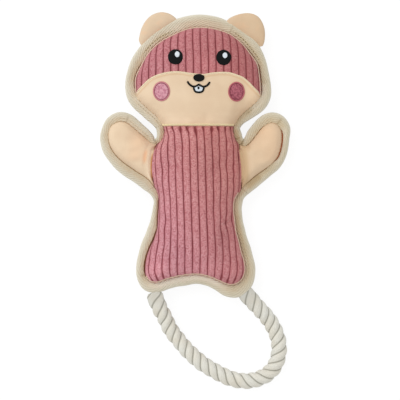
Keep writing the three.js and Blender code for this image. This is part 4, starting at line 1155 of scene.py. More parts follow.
def corduroyCloth(name, loop, seen, base, middle, material, step=(0.4, 1.3), gathered=False, down=False, tones=()):
    # seen is the part that no tape covers; gathered is for the belly, and down for the backs, whose ribs point down
    loop, seen = np.asarray(loop), np.asarray(seen)
    across, lattice = clothAcross(loop, base, middle)
    high, thickness = corduroyLook["ribHeight"], corduroyLook["thickness"]

    def fade(xy):
        return smooth(0, corduroyLook["fadeIn"], nearLoop(xy, seen)) * insideLoop(xy, seen)

    def overRibs(xy):
        s = across(xy)
        return s + pinch(xy, s) if gathered else s

    def ribs(xy):
        s = overRibs(xy)
        out = ribHeight(s)
        if gathered:
            near = 1 - smooth(0, gather["riseOver"], neckY - xy[:, 1])
            uneven = 0.5 + rough(np.column_stack([s, xy[:, 1] * 0.5]), 3.2, 9.1)
            out = out * (1 + gather["rise"] * near) - gather["rough"] * near * uneven - crease(xy)
        return out * fade(xy)

    def place(xy):
        # the backs and the forehead are far from where the material widens the painted shade of the gathered grooves
        return np.column_stack([overRibs(xy), xy[:, 1] - (0 if gathered else 400)])

    def outer(xy):
        if down:
            return np.maximum(offFloor, base(xy) - ribs(xy) + high * fade(xy))
        return base(xy) - high * 0.6 * fade(xy) + ribs(xy)

    def inner(xy):
        if down:
            return base(xy) + high * fade(xy) + thickness
        return base(xy) - high * 0.6 * fade(xy) - thickness

    def rim(xy):
        # painted shade on the hidden hem under the tape, which shows in the gaps beside it
        hem = (1 - insideLoop(xy, seen)) * smooth(0.05, 0.3, nearLoop(xy, seen))
        return hem * (np.abs(xy[:, 1] - neckY) > 2.5)
    marks = {"rim": rim}
    if tones:
        marks["tone"] = spotsOf(tones)
    if gathered:
        marks["pucker"] = spotsOf(puckers)
    return clothPiece(name, loop, lattice(*step), outer, inner, material, place, marks)


underReach = 2.2  # how far a panel's edge goes in under the tape


def underTape(indices, reach=underReach):
    return edgeXY[indices] + edgeOut[indices] * reach


muzzleLine = throughPoints(muzzleTop, 1.0)
muzzleLine[:, 1] -= 0.8 * np.sin(np.linspace(0, math.pi, len(muzzleLine)))
# How much lower the arches are drawn: x, drop
muzzleDrop = np.array([
    [-50, 0], [-38, 0.1], [-30, 0.9], [-14.5, 0.95], [-5, 1.5], [4.3, 2.4], [12, 1.7], [23, 1.6], [31, 0.9],
    [37, 0.3], [50, 0]])
muzzleLine[:, 1] -= np.interp(muzzleLine[:, 0], *muzzleDrop.T)
headEdgeI = edgeRange(neckRightI, neckLeftI)
headEdge = underTape(headEdgeI)


def cornerAt(point):
    # the head edge's point nearest to an end of the arches
    return int(np.argmin(np.linalg.norm(headEdge - point, axis=1)))


rightCornerI, leftCornerI = cornerAt(muzzleLine[-1] + (1.2, -0.4)), cornerAt(muzzleLine[0] - (1.2, 0.4))
foreheadI = headEdgeI[rightCornerI:leftCornerI + 1]
underMuzzle = (muzzleLine + (0, -1.6))[1:-1]
foreheadLoop, foreheadSeen = (np.concatenate([underTape(foreheadI, reach), underMuzzle]) for reach in (underReach, 0))
muzzleLoop = np.concatenate([headEdge[:rightCornerI + 1], muzzleLine[::-1][1:-1], headEdge[leftCornerI:]])
neckLine = np.linspace(muzzleLoop[-1], muzzleLoop[0], 60)[1:-1]
muzzleLoop = np.concatenate([muzzleLoop, neckLine])


def bellyRound(reach):
    return np.concatenate([
        underTape(edgeRange(neckLeftI, armTopLeftI), reach), armSeam["left"][1:-1],
        underTape(edgeRange(armPitLeftI, armPitRightI), reach), armSeam["right"][-2:0:-1],
        underTape(edgeRange(armTopRightI, neckRightI), reach), neckLine[::-1]])


bellyLoop, bellySeen = bellyRound(underReach), bellyRound(0)

forehead = corduroyCloth("forehead_cloth", foreheadLoop, foreheadSeen, trunkFront, grooves["forehead"],
                         foreheadCorduroy, tones=corduroyTones["forehead"])
dress(forehead, "forehead_panel", "head")
print("forehead:", len(forehead.data.vertices))

belly = corduroyCloth("belly_cloth", bellyLoop, bellySeen, trunkFront, grooves["belly"], corduroy, gathered=True,
                      tones=corduroyTones["belly"])
dress(belly, "belly_panel", "head", neckBend)
print("belly:", len(belly.data.vertices))

# suede panels
muzzleLook = {
    "overCorduroy": 0.55, "overReach": 5, "dip": 0.35, "dipWide": 0.9, "lumps": 0.2, "thickness": 1.0,
    "edgeIn": 2.1, "edgeWide": 0.55, "edgeShare": 0.5,
    # these tones are painted light, where the muzzle slopes down near the neck and at its right edge
    "tones": [(-5, 71, 26, 6, 0.14), (46, 91, 8, 11, 0.2), (47, 107, 6, 7, 0.12)],
}


def muzzleHeight(xy):
    # the muzzle lies over the forehead's ribs along its top edge
    toTop = nearLoop(xy, muzzleLine, False)
    lift = muzzleLook["overCorduroy"] * (1 - smooth(0, muzzleLook["overReach"], toTop))
    dip = muzzleLook["dip"] * np.exp(-(toTop / muzzleLook["dipWide"]) ** 2)
    return trunkFront(xy) + lift - dip + muzzleLook["lumps"] * rough(xy, 16, 1.7, 2)


def muzzleEdge(xy):
    # a line of stitches a little inside the arches
    off = nearLoop(xy, muzzleLine, False) - muzzleLook["edgeIn"]
    return muzzleLook["edgeShare"] * np.exp(-(off / muzzleLook["edgeWide"]) ** 2)


muzzlePlan = np.concatenate([latticeOver(muzzleLoop, 1.3), *[muzzleLine - (0, k * 0.45) for k in range(2, 8)]])
muzzle = clothPiece("muzzle_cloth", muzzleLoop, muzzlePlan, muzzleHeight,
                    lambda xy: muzzleHeight(xy) - muzzleLook["thickness"], suede,
                    marks={"edgeLine": muzzleEdge, "tone": spotsOf(muzzleLook["tones"])})
dress(muzzle, "muzzle_panel", "head")

# Painted highlight and shade of the folds beside each arm's seam: from the seam, how wide, from y, to y, how strong
armFoldShading = {
    "left": {
        "foldHighlight": [(2.9, 1.1, 20, 50, 0.9)], "valley": [(0.4, 1.0, 19, 47, 1.0), (0.2, 0.8, 43, 56, 0.5)],
        # on the left arm the tint is painted shade beside the fold
        "tint": [(6.6, 1.6, 34, 50, 1.0), (15, 8, 36, 66, 0.28)]},
    "right": {
        "foldHighlight": [(1.6, 0.9, 24, 40, 0.15)], "valley": [(0.2, 0.8, 18, 50, 0.3)],
        "shade": [(0.8, 2.4, 10, 56, 0.55), (4.6, 2.5, 12, 58, 0.6), (8.2, 1.6, 44, 60, 0.4)],
        "tint": [(28, 10, 34, 70, 0.22)]},
}
armCloth = {"thickness": 1.0, "step": 0.9, "backStep": 1.6, "rustFrom": 58}  # under the tape its hem has painted shade, reddish towards the toy's right


def foldShadingMark(side, key):
    def mark(xy):
        toSeam, y = nearLoop(xy, armSeam[side], False), xy[:, 1]
        return sum(
            most * np.exp(-((toSeam - off) / wide) ** 2) * smooth(low, low + 6, y) * (1 - smooth(high - 6, high, y))
            for off, wide, low, high, most in armFoldShading[side][key])
    return mark


def armRim(side, rust):
    # painted shade on the cloth's edge under the tape, which shows in the gaps beside it, reddish on the right arm's
    # outer side
    seen = armLoops[side]

    def mark(xy):
        hidden = (1 - insideLoop(xy, seen)) * smooth(0.05, 0.3, nearLoop(xy, seen))
        hidden = hidden * (np.abs(xy[:, 0]) > body["shoulderHalf"] + 4)
        rusty = (xy[:, 0] > armCloth["rustFrom"]) * 1.0
        return hidden * (rusty if rust else 1 - rusty)
    return mark


def addArmCloths(side):
    loop = np.concatenate([underTape(armEdges[side]), armSeamBack[side]])
    front, back = armFront(side), armBack(side)
    marks = {key: foldShadingMark(side, key) for key in armFoldShading[side]}
    marks.update(rim=armRim(side, False), rust=armRim(side, True))

    def under(xy):
        lift = liftAt("backSeamLift", nearLoop(xy, armSeam[side], False))
        return np.minimum(back(xy), seamZ - seamGap - body["hem"] - lift)
    thick = armCloth["thickness"]
    cloths = {
        "front": clothPiece(f"arm_{side}_front_cloth", loop, latticeOver(loop, armCloth["step"]), front,
                            lambda xy: front(xy) - thick, armSuede, marks=marks),
        "back": clothPiece(f"arm_{side}_back_cloth", loop, latticeOver(loop, armCloth["backStep"]), under,
                           lambda xy: under(xy) + thick, suede)}
    for face, cloth in cloths.items():
        dress(cloth, f"arm_{side}_{face}_panel", "arm_" + side, armBend(side))


for side in armEdges:
    addArmCloths(side)
print("muzzle and arms made")

# back panels
backStep = (0.64, 2.2)
backHead = np.concatenate([headEdge, neckLine])
headBack = corduroyCloth("head_back_cloth", backHead, np.concatenate([edgeXY[headEdgeI], neckLine]), trunkBack,
                         grooves["forehead"], corduroy, step=backStep, down=True)
dress(headBack, "head_back_panel", "head")
bodyBack = corduroyCloth("body_back_cloth", bellyLoop, bellySeen, trunkBack, grooves["belly"], corduroy,
                         step=backStep, down=True)
dress(bodyBack, "body_back_panel", "head", neckBend)
print("backs made")

# binding tape
tapeForm = {
    "inset": -0.25, "top": 2.75, "crownUp": 0.3, "lip": 1.3, "wave": 0.22, "waveLong": 11,
    # the tape's end laps over its start here, with this much more thickness
    "lapAt": (25.5, 150), "lapLong": 9, "lapUp": 0.45,
    # one length of tape follows another this far out to each side
    "cutAt": 37.2,
    # places along the edge, anticlockwise, from (x, y) to (x, y), with an amount:
    # where the lip stands off the panel, in millimetres
    "gaps": [
        ((-23.8, 143.7), (-40.8, 132.6), 0.3), ((-46.8, 123.3), (-54.4, 96.9), 0.5),
        ((-52.7, 91.8), (-28.9, 68.9), 0.3), ((-40.8, 55.3), (-72.3, 72.3), 0.35),
        ((-76.5, 62.9), (-34, 6), 0.42), ((-31.5, 9.4), (-34.9, -22.1), 1.0),
        ((-33, -14), (-45.9, -64.6), 1.3), ((36.6, -41.7), (32.3, -18.7), 0.2), ((41.7, 17), (61.2, 34), 0.4),
        ((62.9, 36.6), (69.7, 67.2), 1.5), ((56.1, 72.3), (38.3, 53.6), 0.45), ((40.8, 79.9), (51, 90.1), 0.2),
        ((54.4, 92.6), (50.2, 124.1), 0.75), ((50.2, 124.1), (40.8, 136), 0.45)],
    # where the row of needle holes shows
    "stitched": [
        ((-15.3, 151.3), (-46.8, 125.8), 0.9), ((54.4, 119), (27.2, 150.5), 0.9), ((-51.8, 91.8), (-29.7, 69.7), 0.7),
        ((39.1, 78.2), (51, 90.1), 0.6), ((-40.8, 55.3), (-72.3, 72.3), 0.4), ((38, -66), (33, -18), 0.35)],
    # where the inner half is darker: painted shade, where it slopes down to the panel and in the fold at the left notch
    "tan": [
        ((27.2, 152), (-17, 149.6), 0.8), ((35, -33), (32.3, 5.1), 0.6), ((33, 6), (54.4, 30.6), 0.6),
        ((-40.8, 56), (-66, 75), 0.25), ((38, 55), (34, 66), 0.7), ((-29, 69), (-35, 57), 1.0)],
    # where the inner half is paler: painted light, lifting the shade that the raised cloth beside it casts
    "light": [
        ((-44, -60), (30, -67), 0.6), ((-48, 98), (-31, 70), 0.25), ((38, 146), (-30, 147), 0.22),
        ((41, 83), (54, 106), 0.4), ((62, 34), (69, 68), 0.4), ((-44, 58), (-68, 74), 0.2)],
    # where it is darker and yellower
    "olive": [
        ((36, -50), (32, -2), 0.32), ((39, 16), (52, 29), 0.5), ((39, 54), (33, 67), 0.45), ((31, 66), (44, 83), 0.2),
        ((-47, 124), (-55, 100), 0.2)],
    # painted shade of creases across the tape: at (x, y), how wide, how far out they go as a share of its width, how
    # dark
    "folds": [
        ((-61.5, 70), 0.6, 0.75, 0.35), ((66.5, 69), 0.6, 0.7, 0.5), ((26.5, 146.5), 0.6, 0.7, 0.35),
        ((-45, -58), 1.0, 0.5, 0.6), ((-36, 54.5), 0.9, 0.8, 0.7), ((37.5, 53.5), 1.2, 0.9, 0.9),
        ((33.5, 57), 0.8, 0.7, 0.75)],
}
# How far out the tints reach: fading from one share of the tape's width to another
tintFades = {"tan": (0.42, 0.66), "light": (0.35, 0.7), "olive": (0.5, 0.9)}


def edgePlace(x, y):
    return nearestEdge(x, y, wholeEdge)


def alongEdge(places):
    # an amount at each point of the panel's edge, fading at both ends of each place
    out = np.zeros(len(edgeXY))
    for start, stop, amount in places:
        indices = edgeRange(edgePlace(*start), edgePlace(*stop))
        t = np.linspace(0, 1, len(indices))
        out[indices] = np.maximum(out[indices], amount * smooth(0, 0.2, t) * (1 - smooth(0.8, 1, t)))
    return out


amountAt = {key: alongEdge(tapeForm[key]) for key in ("gaps", "stitched", *tintFades)}


def creaseShadeAcross(i, share):
    # painted shade of the tape's creases near this point of the edge
    out = 0 * share
    for place, wide, reach, dark in tapeForm["folds"]:
        off = math.dist(edgeXY[i], edgeXY[edgePlace(*place)])
        if off < 3 * wide:
            out = np.maximum(out, dark * math.exp(-(off / wide) ** 2) * (1 - smooth(reach - 0.15, reach + 0.1, share)))
    return out


def tapeSection(width):
    # a folded band as points [away, up], from its inner lip over the top and round to the underside
    start, lip, top, crown = (tapeForm[key] for key in ("inset", "lip", "top", "crownUp"))
    over = [
        (start, lip), (start - 0.05, top - 0.75), (start + 0.22, top - 0.22), (start + 0.8, top),
        (start + 1.6, top + 0.02), (width * 0.42, top + crown), (width * 0.62, top + crown * 0.9), (width - 1.9, top),
        (width - 1.05, top - 0.45), (width - 0.4, top - 1.15), (width - 0.08, top - 2.0), (width, 0)]
    under = [(a, -b) for a, b in reversed(over[:-1])]
    inside = [(width - 1.6, -lip), (width - 1.2, 0), (width - 1.6, lip)]
    return np.array(over + under + inside)


def tapePiece(name, indices):
    section = len(tapeSection(8))
    points, uv, marks = [], [], {key: [] for key in ("share", "open", "stitched", "fold", *tintFades)}
    travelled = alongOf(edgeXY[indices]) + 3.7 * indices[0]
    lapIndex = edgePlace(*tapeForm["lapAt"])
    for k, i in enumerate(indices):
        x, y = edgeXY[i]
        waver = noise.noise(Vector((x / tapeForm["waveLong"], y / tapeForm["waveLong"], 0.3)))
        lifted = noise.noise(Vector((x / 7.0, y / 7.0, 4.4)))
        width = edgeTape[i] + tapeForm["wave"] * 1.6 * waver
        off, high = tapeSection(width).T
        gap = amountAt["gaps"][i]
        lap = tapeForm["lapUp"] * max(0, 1 - (lapIndex - i) % len(edgeXY) / tapeForm["lapLong"])
        away = off + tapeForm["wave"] * waver * smooth(0, 1.5, off) + gap * np.clip(1 - off / (width * 0.5), 0, 1)
        away = away + 0.6 * lap * smooth(0.3, 1, off / width)
        up = high * (1 + 0.05 * lifted) + 0.15 * waver + lap * (high > 0.5)
        points.append(np.column_stack([x + edgeOut[i, 0] * away, y + edgeOut[i, 1] * away, seamZ + up]))
        # its underside lies 20 mm off in the cloth's own frame, so that no needle hole falls on it
        overCloth = off - tapeForm["inset"] + np.where(high < 0, 20, 0)
        uv.append(np.column_stack([np.full(section, travelled[k]), overCloth]))
        share = np.clip(off / width, 0, 1)
        marks["share"].append(share)
        marks["open"].append(np.full(section, min(1, gap / 0.5)))
        marks["stitched"].append(np.full(section, amountAt["stitched"][i]))
        marks["fold"].append(creaseShadeAcross(i, share))
        for key, fade in tintFades.items():
            marks[key].append(amountAt[key][i] * (1 - smooth(*fade, share)))
    piece = meshOf(name, np.concatenate(points), tubeFaces(len(indices), section, True), tape, np.concatenate(uv))
    for key, values in marks.items():
        addMark(piece, key, np.concatenate(values))
    return piece


def cutAlong(start, stop, beyond):
    # the first place of a stretch that is beyond a cut
    return next(i for i in edgeRange(start, stop) if beyond(edgeXY[i, 0]))


cut = tapeForm["cutAt"]
cutLeft = cutAlong(neckLeftI, edgeIndex("armLeft", 2), lambda x: x < -cut)
cutRight = cutAlong(edgeIndex("armRight", -3), neckRightI, lambda x: x < cut)
endLeft = cutAlong(edgeIndex("armLeft", 12), edgeIndex("bodyLeft", 0), lambda x: x > -cut)
endRight = cutAlong(edgeIndex("bodyRight", -1), edgeIndex("armRight", 5), lambda x: x > cut)
tapes = (
    ("head_tape", neckRightI, neckLeftI, "head_binding", "head", None),
    ("neck_tape_left", neckLeftI, cutLeft, "neck_binding_left", "head", neckTapeBend),
    ("neck_tape_right", cutRight, neckRightI, "neck_binding_right", "head", neckTapeBend),
    ("arm_left_tape", cutLeft, endLeft, "arm_left_binding", "arm_left", armBend("left", 0.0385, 0.051)),
    ("arm_right_tape", endRight, cutRight, "arm_right_binding", "arm_right", armBend("right", 0.0385, 0.051)),
    ("hem_tape", endLeft, endRight, "hem_binding", "torso", None))
for name, start, stop, solid, bodyName, bend in tapes:
    dress(tapePiece(name, edgeRange(start, stop)), solid, bodyName, bend)
print("tape made")

# ears
ears = {
    "left": {"low": [-0.921, 0.849], "high": [-0.34, 1.084], "side": -1, "rim": [
        [0.0, -0.3], [0.015, 0.0], [0.08, 0.19], [0.2, 0.456], [0.35, 0.666], [0.51, 0.775], [0.66, 0.755],
        [0.8, 0.625], [0.915, 0.37], [0.98, 0.05], [0.99, -0.12]]},
    "right": {"low": [1.02, 0.82], "high": [0.462, 1.07], "side": 1, "rim": [
        [0, -0.12], [0.01, 0.03], [0.04, 0.19], [0.11, 0.46], [0.22, 0.735], [0.38, 0.955], [0.53, 1.0],
        [0.69, 0.866], [0.83, 0.593], [0.94, 0.26], [0.99, 0.0], [1.0, -0.3]]},
    "height": 16.2, "swell": 3.8, "edge": 0.9, "rootIn": 1.6,
}


def addEar(side):
    ear = ears[side]
    base, tip = np.array(onHead([ear["low"]])[0]), np.array(onHead([ear["high"]])[0])
    run = tip - base
    width = np.linalg.norm(run)
    run = run / width
    out = np.array([ear["side"] * abs(run[1]), abs(run[0])])
    rim = np.array([base + run * a * width + out * b * ears["height"] for a, b in ear["rim"]])
    arc = throughPoints(rim, 0.8)
    root = np.linspace(arc[-1], arc[0], 30)[1:-1] - out * ears["rootIn"]
    loop = np.concatenate([arc, root])
    if side == "left":
        loop = loop[::-1]
    deep = arc[::2] if side == "right" else arc[::-2]
    middle = depthInside(np.array([rim.mean(axis=0)]), deep)[0]
    start = np.array([*((base + tip) / 2 - out * 0.5), seamZ]) * mm
    end = start + np.array([*(out * 3.5), 0]) * mm

    def rise(xy):
        # a dome that is pressed flat where it goes in under the tape
        return ears["edge"] + (ears["swell"] - ears["edge"]) * (depthInside(xy, deep) / middle) ** 0.6
    for face, sign in (("front", 1), ("back", -1)):
        leaf = clothPiece(
            f"ear_{side}_{face}_leaf", loop, latticeOver(loop, 0.9),
            lambda xy: seamZ + sign * (0.1 + rise(xy)), lambda xy: seamZ + sign * 0.1 + 0 * xy[:, 0], earSuede)
        dress(leaf, f"ear_{side}_{face}", f"ear_{side}", ("head", tuple(start), tuple(end)))


addEar("left")
addEar("right")
print("ears made")

# embroidery
def onMuzzle(xy):
    return muzzleHeight(np.atleast_2d(xy))


def onFace(xy):
    return trunkFront(np.atleast_2d(xy)) + 0.25


def patch(name, middle, size, material, under, thick=0.9, wobble=0.02, lift=0.0, power=2.0, rings=9, spokes=64):
    # an oval of close stitches, domed, with a slightly uneven edge
    middle = np.array(middle)
    turn = np.linspace(0, 2 * math.pi, spokes, endpoint=False)
    uneven = [1 + wobble * noise.noise(Vector((math.cos(t) * 3, math.sin(t) * 3, middle[0]))) * 2 for t in turn]
    shape = (np.abs(np.cos(turn)) ** power + np.abs(np.sin(turn)) ** power) ** (-1 / power)
    oval = np.column_stack([np.cos(turn) * size[0] / 2, np.sin(turn) * size[1] / 2])
    oval = oval * (np.array(uneven) * shape)[:, None]
    shares = [1 - k / rings for k in range(rings)]
    ups = np.repeat([thick * (0.35 + 0.65 * math.sqrt(max(0, 1 - share ** 4))) for share in shares] + [thick],
                    [spokes] * rings + [1])
    xy = np.concatenate([*(middle + oval * share for share in shares), [middle]])
    base = under(xy) + lift
    n = len(xy)
    points = np.concatenate([np.column_stack([xy, base + ups]), np.column_stack([xy[:spokes], base[:spokes] - 0.5])])
    faces = []
    for k in range(rings - 1):
        for j in range(spokes):
            i = (j + 1) % spokes
            faces.append((k * spokes + j, k * spokes + i, (k + 1) * spokes + i, (k + 1) * spokes + j))
    for j in range(spokes):
        i = (j + 1) % spokes
        faces.append(((rings - 1) * spokes + j, (rings - 1) * spokes + i, n - 1))
        faces.append((n + j, n + i, i, j))
    faces.append(tuple(range(n + spokes - 1, n - 1, -1)))
    return meshOf(name, points, faces, material)


def stitched(name, route, width, material, under, high=0.8, closed=False, step=0.4, taper=0.0):
    # a raised cord of stitches over the cloth; a long route is taken as it is
    line = throughPoints(route, step, closed) if len(route) < 200 else np.asarray(route)
    if closed:
        ahead, behind = np.roll(line, -1, axis=0), np.roll(line, 1, axis=0)
    else:
        ahead, behind = np.concatenate([line[1:], line[-1:]]), np.concatenate([line[:1], line[:-1]])
    run = ahead - behind
    run /= np.maximum(np.linalg.norm(run, axis=1), 1e-9)[:, None]
    sideways = np.column_stack([-run[:, 1], run[:, 0]])
    z = under(line)
    travelled = alongOf(line)
    size = np.ones(len(line))
    if taper:
        ends = np.minimum(travelled, travelled[-1] - travelled)
        size = 0.45 + 0.55 * np.sqrt(np.clip(ends / taper, 0, 1))
    section = [(math.cos(a), math.sin(a)) for a in np.linspace(math.pi, 0, 8)] + [(0.7, -0.45), (-0.7, -0.45)]
    points, uv = [], []
    for a, b in section:
        points.append(np.column_stack([line + sideways * (a * width / 2 * size)[:, None], z + b * high * size]))
        uv.append(np.column_stack([travelled, np.full(len(line), a)]))
    n, m = len(line), len(section)
    faces = []
    for k in range(n if closed else n - 1):
        after = (k + 1) % n
        for j in range(m):
            i = (j + 1) % m
            faces.append((j * n + k, i * n + k, i * n + after, j * n + after))
    if not closed:
        faces.append(tuple(j * n for j in reversed(range(m))))
        faces.append(tuple(j * n + n - 1 for j in range(m)))
    return meshOf(name, np.concatenate(points), faces, material, np.concatenate(uv))


# A pixel of the photograph in millimetres, and how much smaller on the raised face, which is nearer to the camera
pixel, nearer = 0.85, 0.9935


def px(x, y):
    # a place in the photograph's frame, as millimetres on the raised face
    return (camera["middle"][0] + (x - 200) * pixel * nearer, camera["middle"][1] + (200 - y) * pixel * nearer)


# places in the photograph's frame, sizes in millimetres
face = {
    "eye": {"left": (175.4, 56.8), "right": (223.7, 57.4), "size": (12.6, 13.0)},
    "glint": {"left": (177.2, 54.3), "right": (225.0, 55.3), "size": (4.0, 4.9)},
    "nose": {"at": (198.9, 77.75), "size": (9.5, 6.5)},
    "cheek": {"left": (161.5, 91.2), "right": (236.5, 91.6)},
    "hoop": {"left": (14.6, 16.8), "right": (14.2, 16.8), "width": 1.7, "patchIn": 2.8},
    "smile": [(187.4, 81.2), (188.7, 83.5), (191.2, 85.7), (194.0, 86.6), (196.4, 86.0), (198.8, 84.7),
              (201.3, 86.1), (203.6, 86.7), (206.3, 86.0), (208.7, 83.8), (209.9, 81.8)],
    "mouth": [(193.9, 86.8), (194.1, 89.2), (195.6, 91.6), (198.8, 92.3), (202.0, 91.6), (203.5, 89.2), (203.7, 86.8)],
    "line": 1.75,
    "teeth": {"at": (198.7, 88.9), "size": (7.6, 4.6)}, "toothMark": {"at": (198.5, 88.0), "size": (1.8, 2.5)},
    "neckEdge": [(-30.6, neckY + 1.0), (-15, neckY + 0.9), (0, neckY + 0.9), (15, neckY + 0.9), (30.6, neckY + 1.0)],
}


def addHeadPatch(name, key, solid, slotName, under, side="at", **form):
    piece = patch(name, px(*face[key][side]), face[key]["size"], threads[slotName], under, **form)
    dress(piece, solid, "head")


def addCheek(side, slotName):
    hoop = face["hoop"]
    wide, high = hoop[side]
    middle = px(*face["cheek"][side])
    size = (wide - hoop["patchIn"], high - hoop["patchIn"])
    cheek = patch(f"embroidered_cheek_{side}", middle, size, threads[slotName], onMuzzle, thick=0.7, wobble=0.01)
    dress(cheek, f"cheek_{side}", "head")
    turn = np.linspace(0, 2 * math.pi, 24, endpoint=False)
    inset = hoop["width"] / 2
    ring = [(middle[0] + math.cos(t) * (wide / 2 - inset), middle[1] + math.sin(t) * (high / 2 - inset)) for t in turn]
    piece = stitched(f"cheek_ring_{side}", ring, hoop["width"], ringThreads[side], onMuzzle, high=0.85, closed=True)
    dress(piece, f"cheek_stitch_{side}", "head")


def addFace():
    for side, slotName in (("left", "pink_thread"), ("right", "red_thread")):
        addHeadPatch(f"embroidered_eye_{side}", "eye", f"eye_{side}", "black_thread", onFace, side,
                     thick=1.25, wobble=0.012, power=2.08)
        addHeadPatch(f"embroidered_glint_{side}", "glint", f"eye_glint_{side}", "white_thread", onFace, side,
                     thick=0.55, lift=1.15, wobble=0.05, rings=5, spokes=28)
        addCheek(side, slotName)
    addHeadPatch("embroidered_nose", "nose", "nose", "black_thread", onMuzzle, thick=1.2, wobble=0.015, lift=0.2)
    smile = stitched("embroidered_smile", [px(*p) for p in face["smile"]], face["line"], blackThread, onMuzzle,
                     taper=0.5)
    dress(smile, None, "head")
    mouth = stitched("embroidered_mouth", [px(*p) for p in face["mouth"]], face["line"], blackThread, onMuzzle)
    dress(mouth, "mouth_line", "head")
    addHeadPatch("embroidered_teeth", "teeth", "teeth", "white_thread", onMuzzle, thick=0.45, power=2.6)
    addHeadPatch("embroidered_tooth_mark", "toothMark", None, "black_thread", onMuzzle,
                 thick=0.45, lift=0.45, rings=4, spokes=20)
    top = stitched("muzzle_top_zigzag", (muzzleLine + (0, -0.35))[3:-3], 1.5, archThread, onMuzzle, high=0.6, step=0.5)
    dress(top, "muzzle_top_stitch", "head")
    neck = stitched("muzzle_neck_zigzag", face["neckEdge"], 1.8, neckThread, onMuzzle, high=0.75, step=0.5)
    dress(neck, "muzzle_neck_stitch", "head")


addFace()
print("face made")

# pale thread along the edges of the corduroy
edging = {"width": 1.25, "high": 0.65, "in": 0.85, "sunk": 0.15}


def edgeThread(name, indices, bend=None):
    line = edgeXY[indices] - edgeOut[indices] * edging["in"]
    piece = stitched(name, line, edging["width"], edgingThread, lambda xy: trunkFront(xy) - edging["sunk"],
                     high=edging["high"])
    dress(piece, None, "head", bend)


edgeThread("forehead_edging", foreheadI)
edgeThread("belly_edging", edgeRange(edgeIndex("bodyLeft", 8), armPitRightI)[:-3], neckBend)
print("edging made")

# filling and squeaker, inside
stuffingForm = {"under": 3.4, "over": 3.0, "in": 5.0, "armUnder": 2.2, "armOver": 2.4, "armIn": 3.4, "offNeck": 3}
squeaker = {"radius": 11, "half": 13, "clear": 0.8}


def wad(name, loop, topOf, bottomOf, solid, bodyName, bend=None):
    # a wad given a bend is baked in place, as its cloth is, and made over a finer lattice
    piece = clothPiece(name, loop, latticeOver(loop, 3.0 if bend is None else 2.0), topOf, bottomOf, filling)
    dress(piece, solid, bodyName, bend)


def inset(loop, by, step=3):
    # the loop drawn in by a distance
    ahead, behind = np.roll(loop, -step, axis=0), np.roll(loop, step, axis=0)
    run = ahead - behind
    out = np.column_stack([run[:, 1], -run[:, 0]])
    out /= np.maximum(np.linalg.norm(out, axis=1), 1e-9)[:, None]
    moved = (loop - out * by)[::step]
    return moved[nearLoop(moved, loop) > by * 0.8]


def aroundSqueaker(xy):
    # half the height of the room that the wads leave for it
    r, half = squeaker["radius"] + squeaker["clear"], squeaker["half"] + squeaker["clear"] + 7
    inside = 1 - (xy[:, 0] / r) ** 2 - (np.maximum(0, np.abs(xy[:, 1]) - 2) / half) ** 2
    return np.where(inside > 0, r * np.sqrt(np.maximum(inside, 0)), 0)


def lumps(xy):
    return 0.5 * rough(xy, 11, 8.8, 2)


def addFilling():
    form = stuffingForm

    def front(xy):
        return trunkFront(xy) - form["under"] + lumps(xy)
    headWad = inset(backHead, form["in"])
    headWad[:, 1] = np.maximum(headWad[:, 1], neckY + form["offNeck"])
    wad("head_filling", headWad, front, lambda xy: trunkBack(xy) + form["over"] + lumps(xy), "head_stuffing", "head")
    bodyWad = inset(bellyLoop, form["in"])
    bodyWad = bodyWad[bodyWad[:, 1] < neckY - form["offNeck"]]
    wad("body_filling_front", bodyWad, front, lambda xy: seamZ + 0.2 + aroundSqueaker(xy), "body_stuffing_front",
        "head", neckBend)
    wad("body_filling_back", bodyWad, lambda xy: seamZ - 0.2 - aroundSqueaker(xy),
        lambda xy: trunkBack(xy) + form["over"] - np.abs(lumps(xy)), "body_stuffing_back", "head", neckBend)
    for side in armEdges:
        above, below = armFront(side), armBack(side)
        loop = inset(armLoops[side], form["armIn"], 2)
        loop = loop[np.abs(loop[:, 0]) > body["shoulderHalf"] + 3]
        wad(f"arm_{side}_filling", loop, lambda xy: above(xy) - form["armUnder"],
            lambda xy: below(xy) + form["armOver"], f"arm_{side}_stuffing", "arm_" + side, armBend(side))
    for solid in ("squeaker_bulb", "squeaker_reed"):
        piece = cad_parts[solid]
        piece.data.materials.clear()
        piece.data.materials.append(squeakerPlastic)


addFilling()
print("filling made")

# floor, light and world
light = {
    "world": 0.8, "key": 0.3, "keySize": 1.6, "keyAt": (-1.1, 0.9, 1.5), "floorShade": 0.15, "floorGlow": 0.89,
    "floorPlain": 0.8, "floorHalf": 3.0,
}


def emptied(owner):
    owner.use_nodes = True
    owner.node_tree.nodes.clear()
    return owner.node_tree


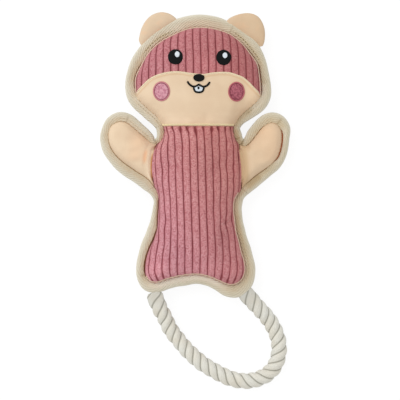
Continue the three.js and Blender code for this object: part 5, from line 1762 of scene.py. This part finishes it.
def seenDirectly(tree, hidden, seen, outKind):
    # one shader for light that falls on the toy, another for what the camera sees, and mirrors and glass
    path = tree.nodes.new("ShaderNodeLightPath")
    direct = number(tree, "MAXIMUM", path.outputs["Is Camera Ray"], path.outputs["Is Glossy Ray"])
    direct = number(tree, "MAXIMUM", direct, path.outputs["Is Transmission Ray"])
    mix = node(tree, "ShaderNodeMixShader", {0: direct, 1: hidden.outputs[0], 2: seen.outputs[0]})
    node(tree, outKind, {0: mix.outputs[0]})


def addFloor():
    half = light["floorHalf"]
    mesh = bpy.data.meshes.new("floor")
    mesh.from_pydata([(-half, -half, 0), (half, -half, 0), (half, half, 0), (-half, half, 0)], [], [(0, 1, 2, 3)])
    floor = bpy.data.objects.new("floor", mesh)
    floor.location.z = -0.0002
    bpy.context.collection.objects.link(floor)
    material = bpy.data.materials.new("floor_paper")
    tree = emptied(material)
    plain, shade = (node(tree, "ShaderNodeBsdfDiffuse", {"Color": (light[key],) * 3 + (1,)})
                    for key in ("floorPlain", "floorShade"))
    glow = node(tree, "ShaderNodeEmission", {"Color": (1, 1, 1, 1), "Strength": light["floorGlow"]})
    both = node(tree, "ShaderNodeAddShader", {0: shade.outputs[0], 1: glow.outputs[0]})
    seenDirectly(tree, plain, both, "ShaderNodeOutputMaterial")
    mesh.materials.append(material)


def addLight():
    world = bpy.data.worlds.new("studio")
    bpy.context.scene.world = world
    tree = emptied(world)
    soft, white = (node(tree, "ShaderNodeBackground", {"Color": (1, 1, 1, 1), "Strength": strength})
                   for strength in (light["world"], 1.0))
    seenDirectly(tree, soft, white, "ShaderNodeOutputWorld")
    lamp = bpy.data.lights.new("key", "AREA")
    lamp.shape = "SQUARE"
    lamp.size = light["keySize"]
    at = Vector(light["keyAt"])
    lamp.energy = light["key"] * 4 * math.pi * at.length_squared
    key = bpy.data.objects.new("key", lamp)
    key.location = at
    key.rotation_euler = (-at).to_track_quat("-Z", "Y").to_euler()
    bpy.context.collection.objects.link(key)


bpy.context.scene.view_settings.view_transform = "Standard"
addFloor()
addLight()
print("studio made")
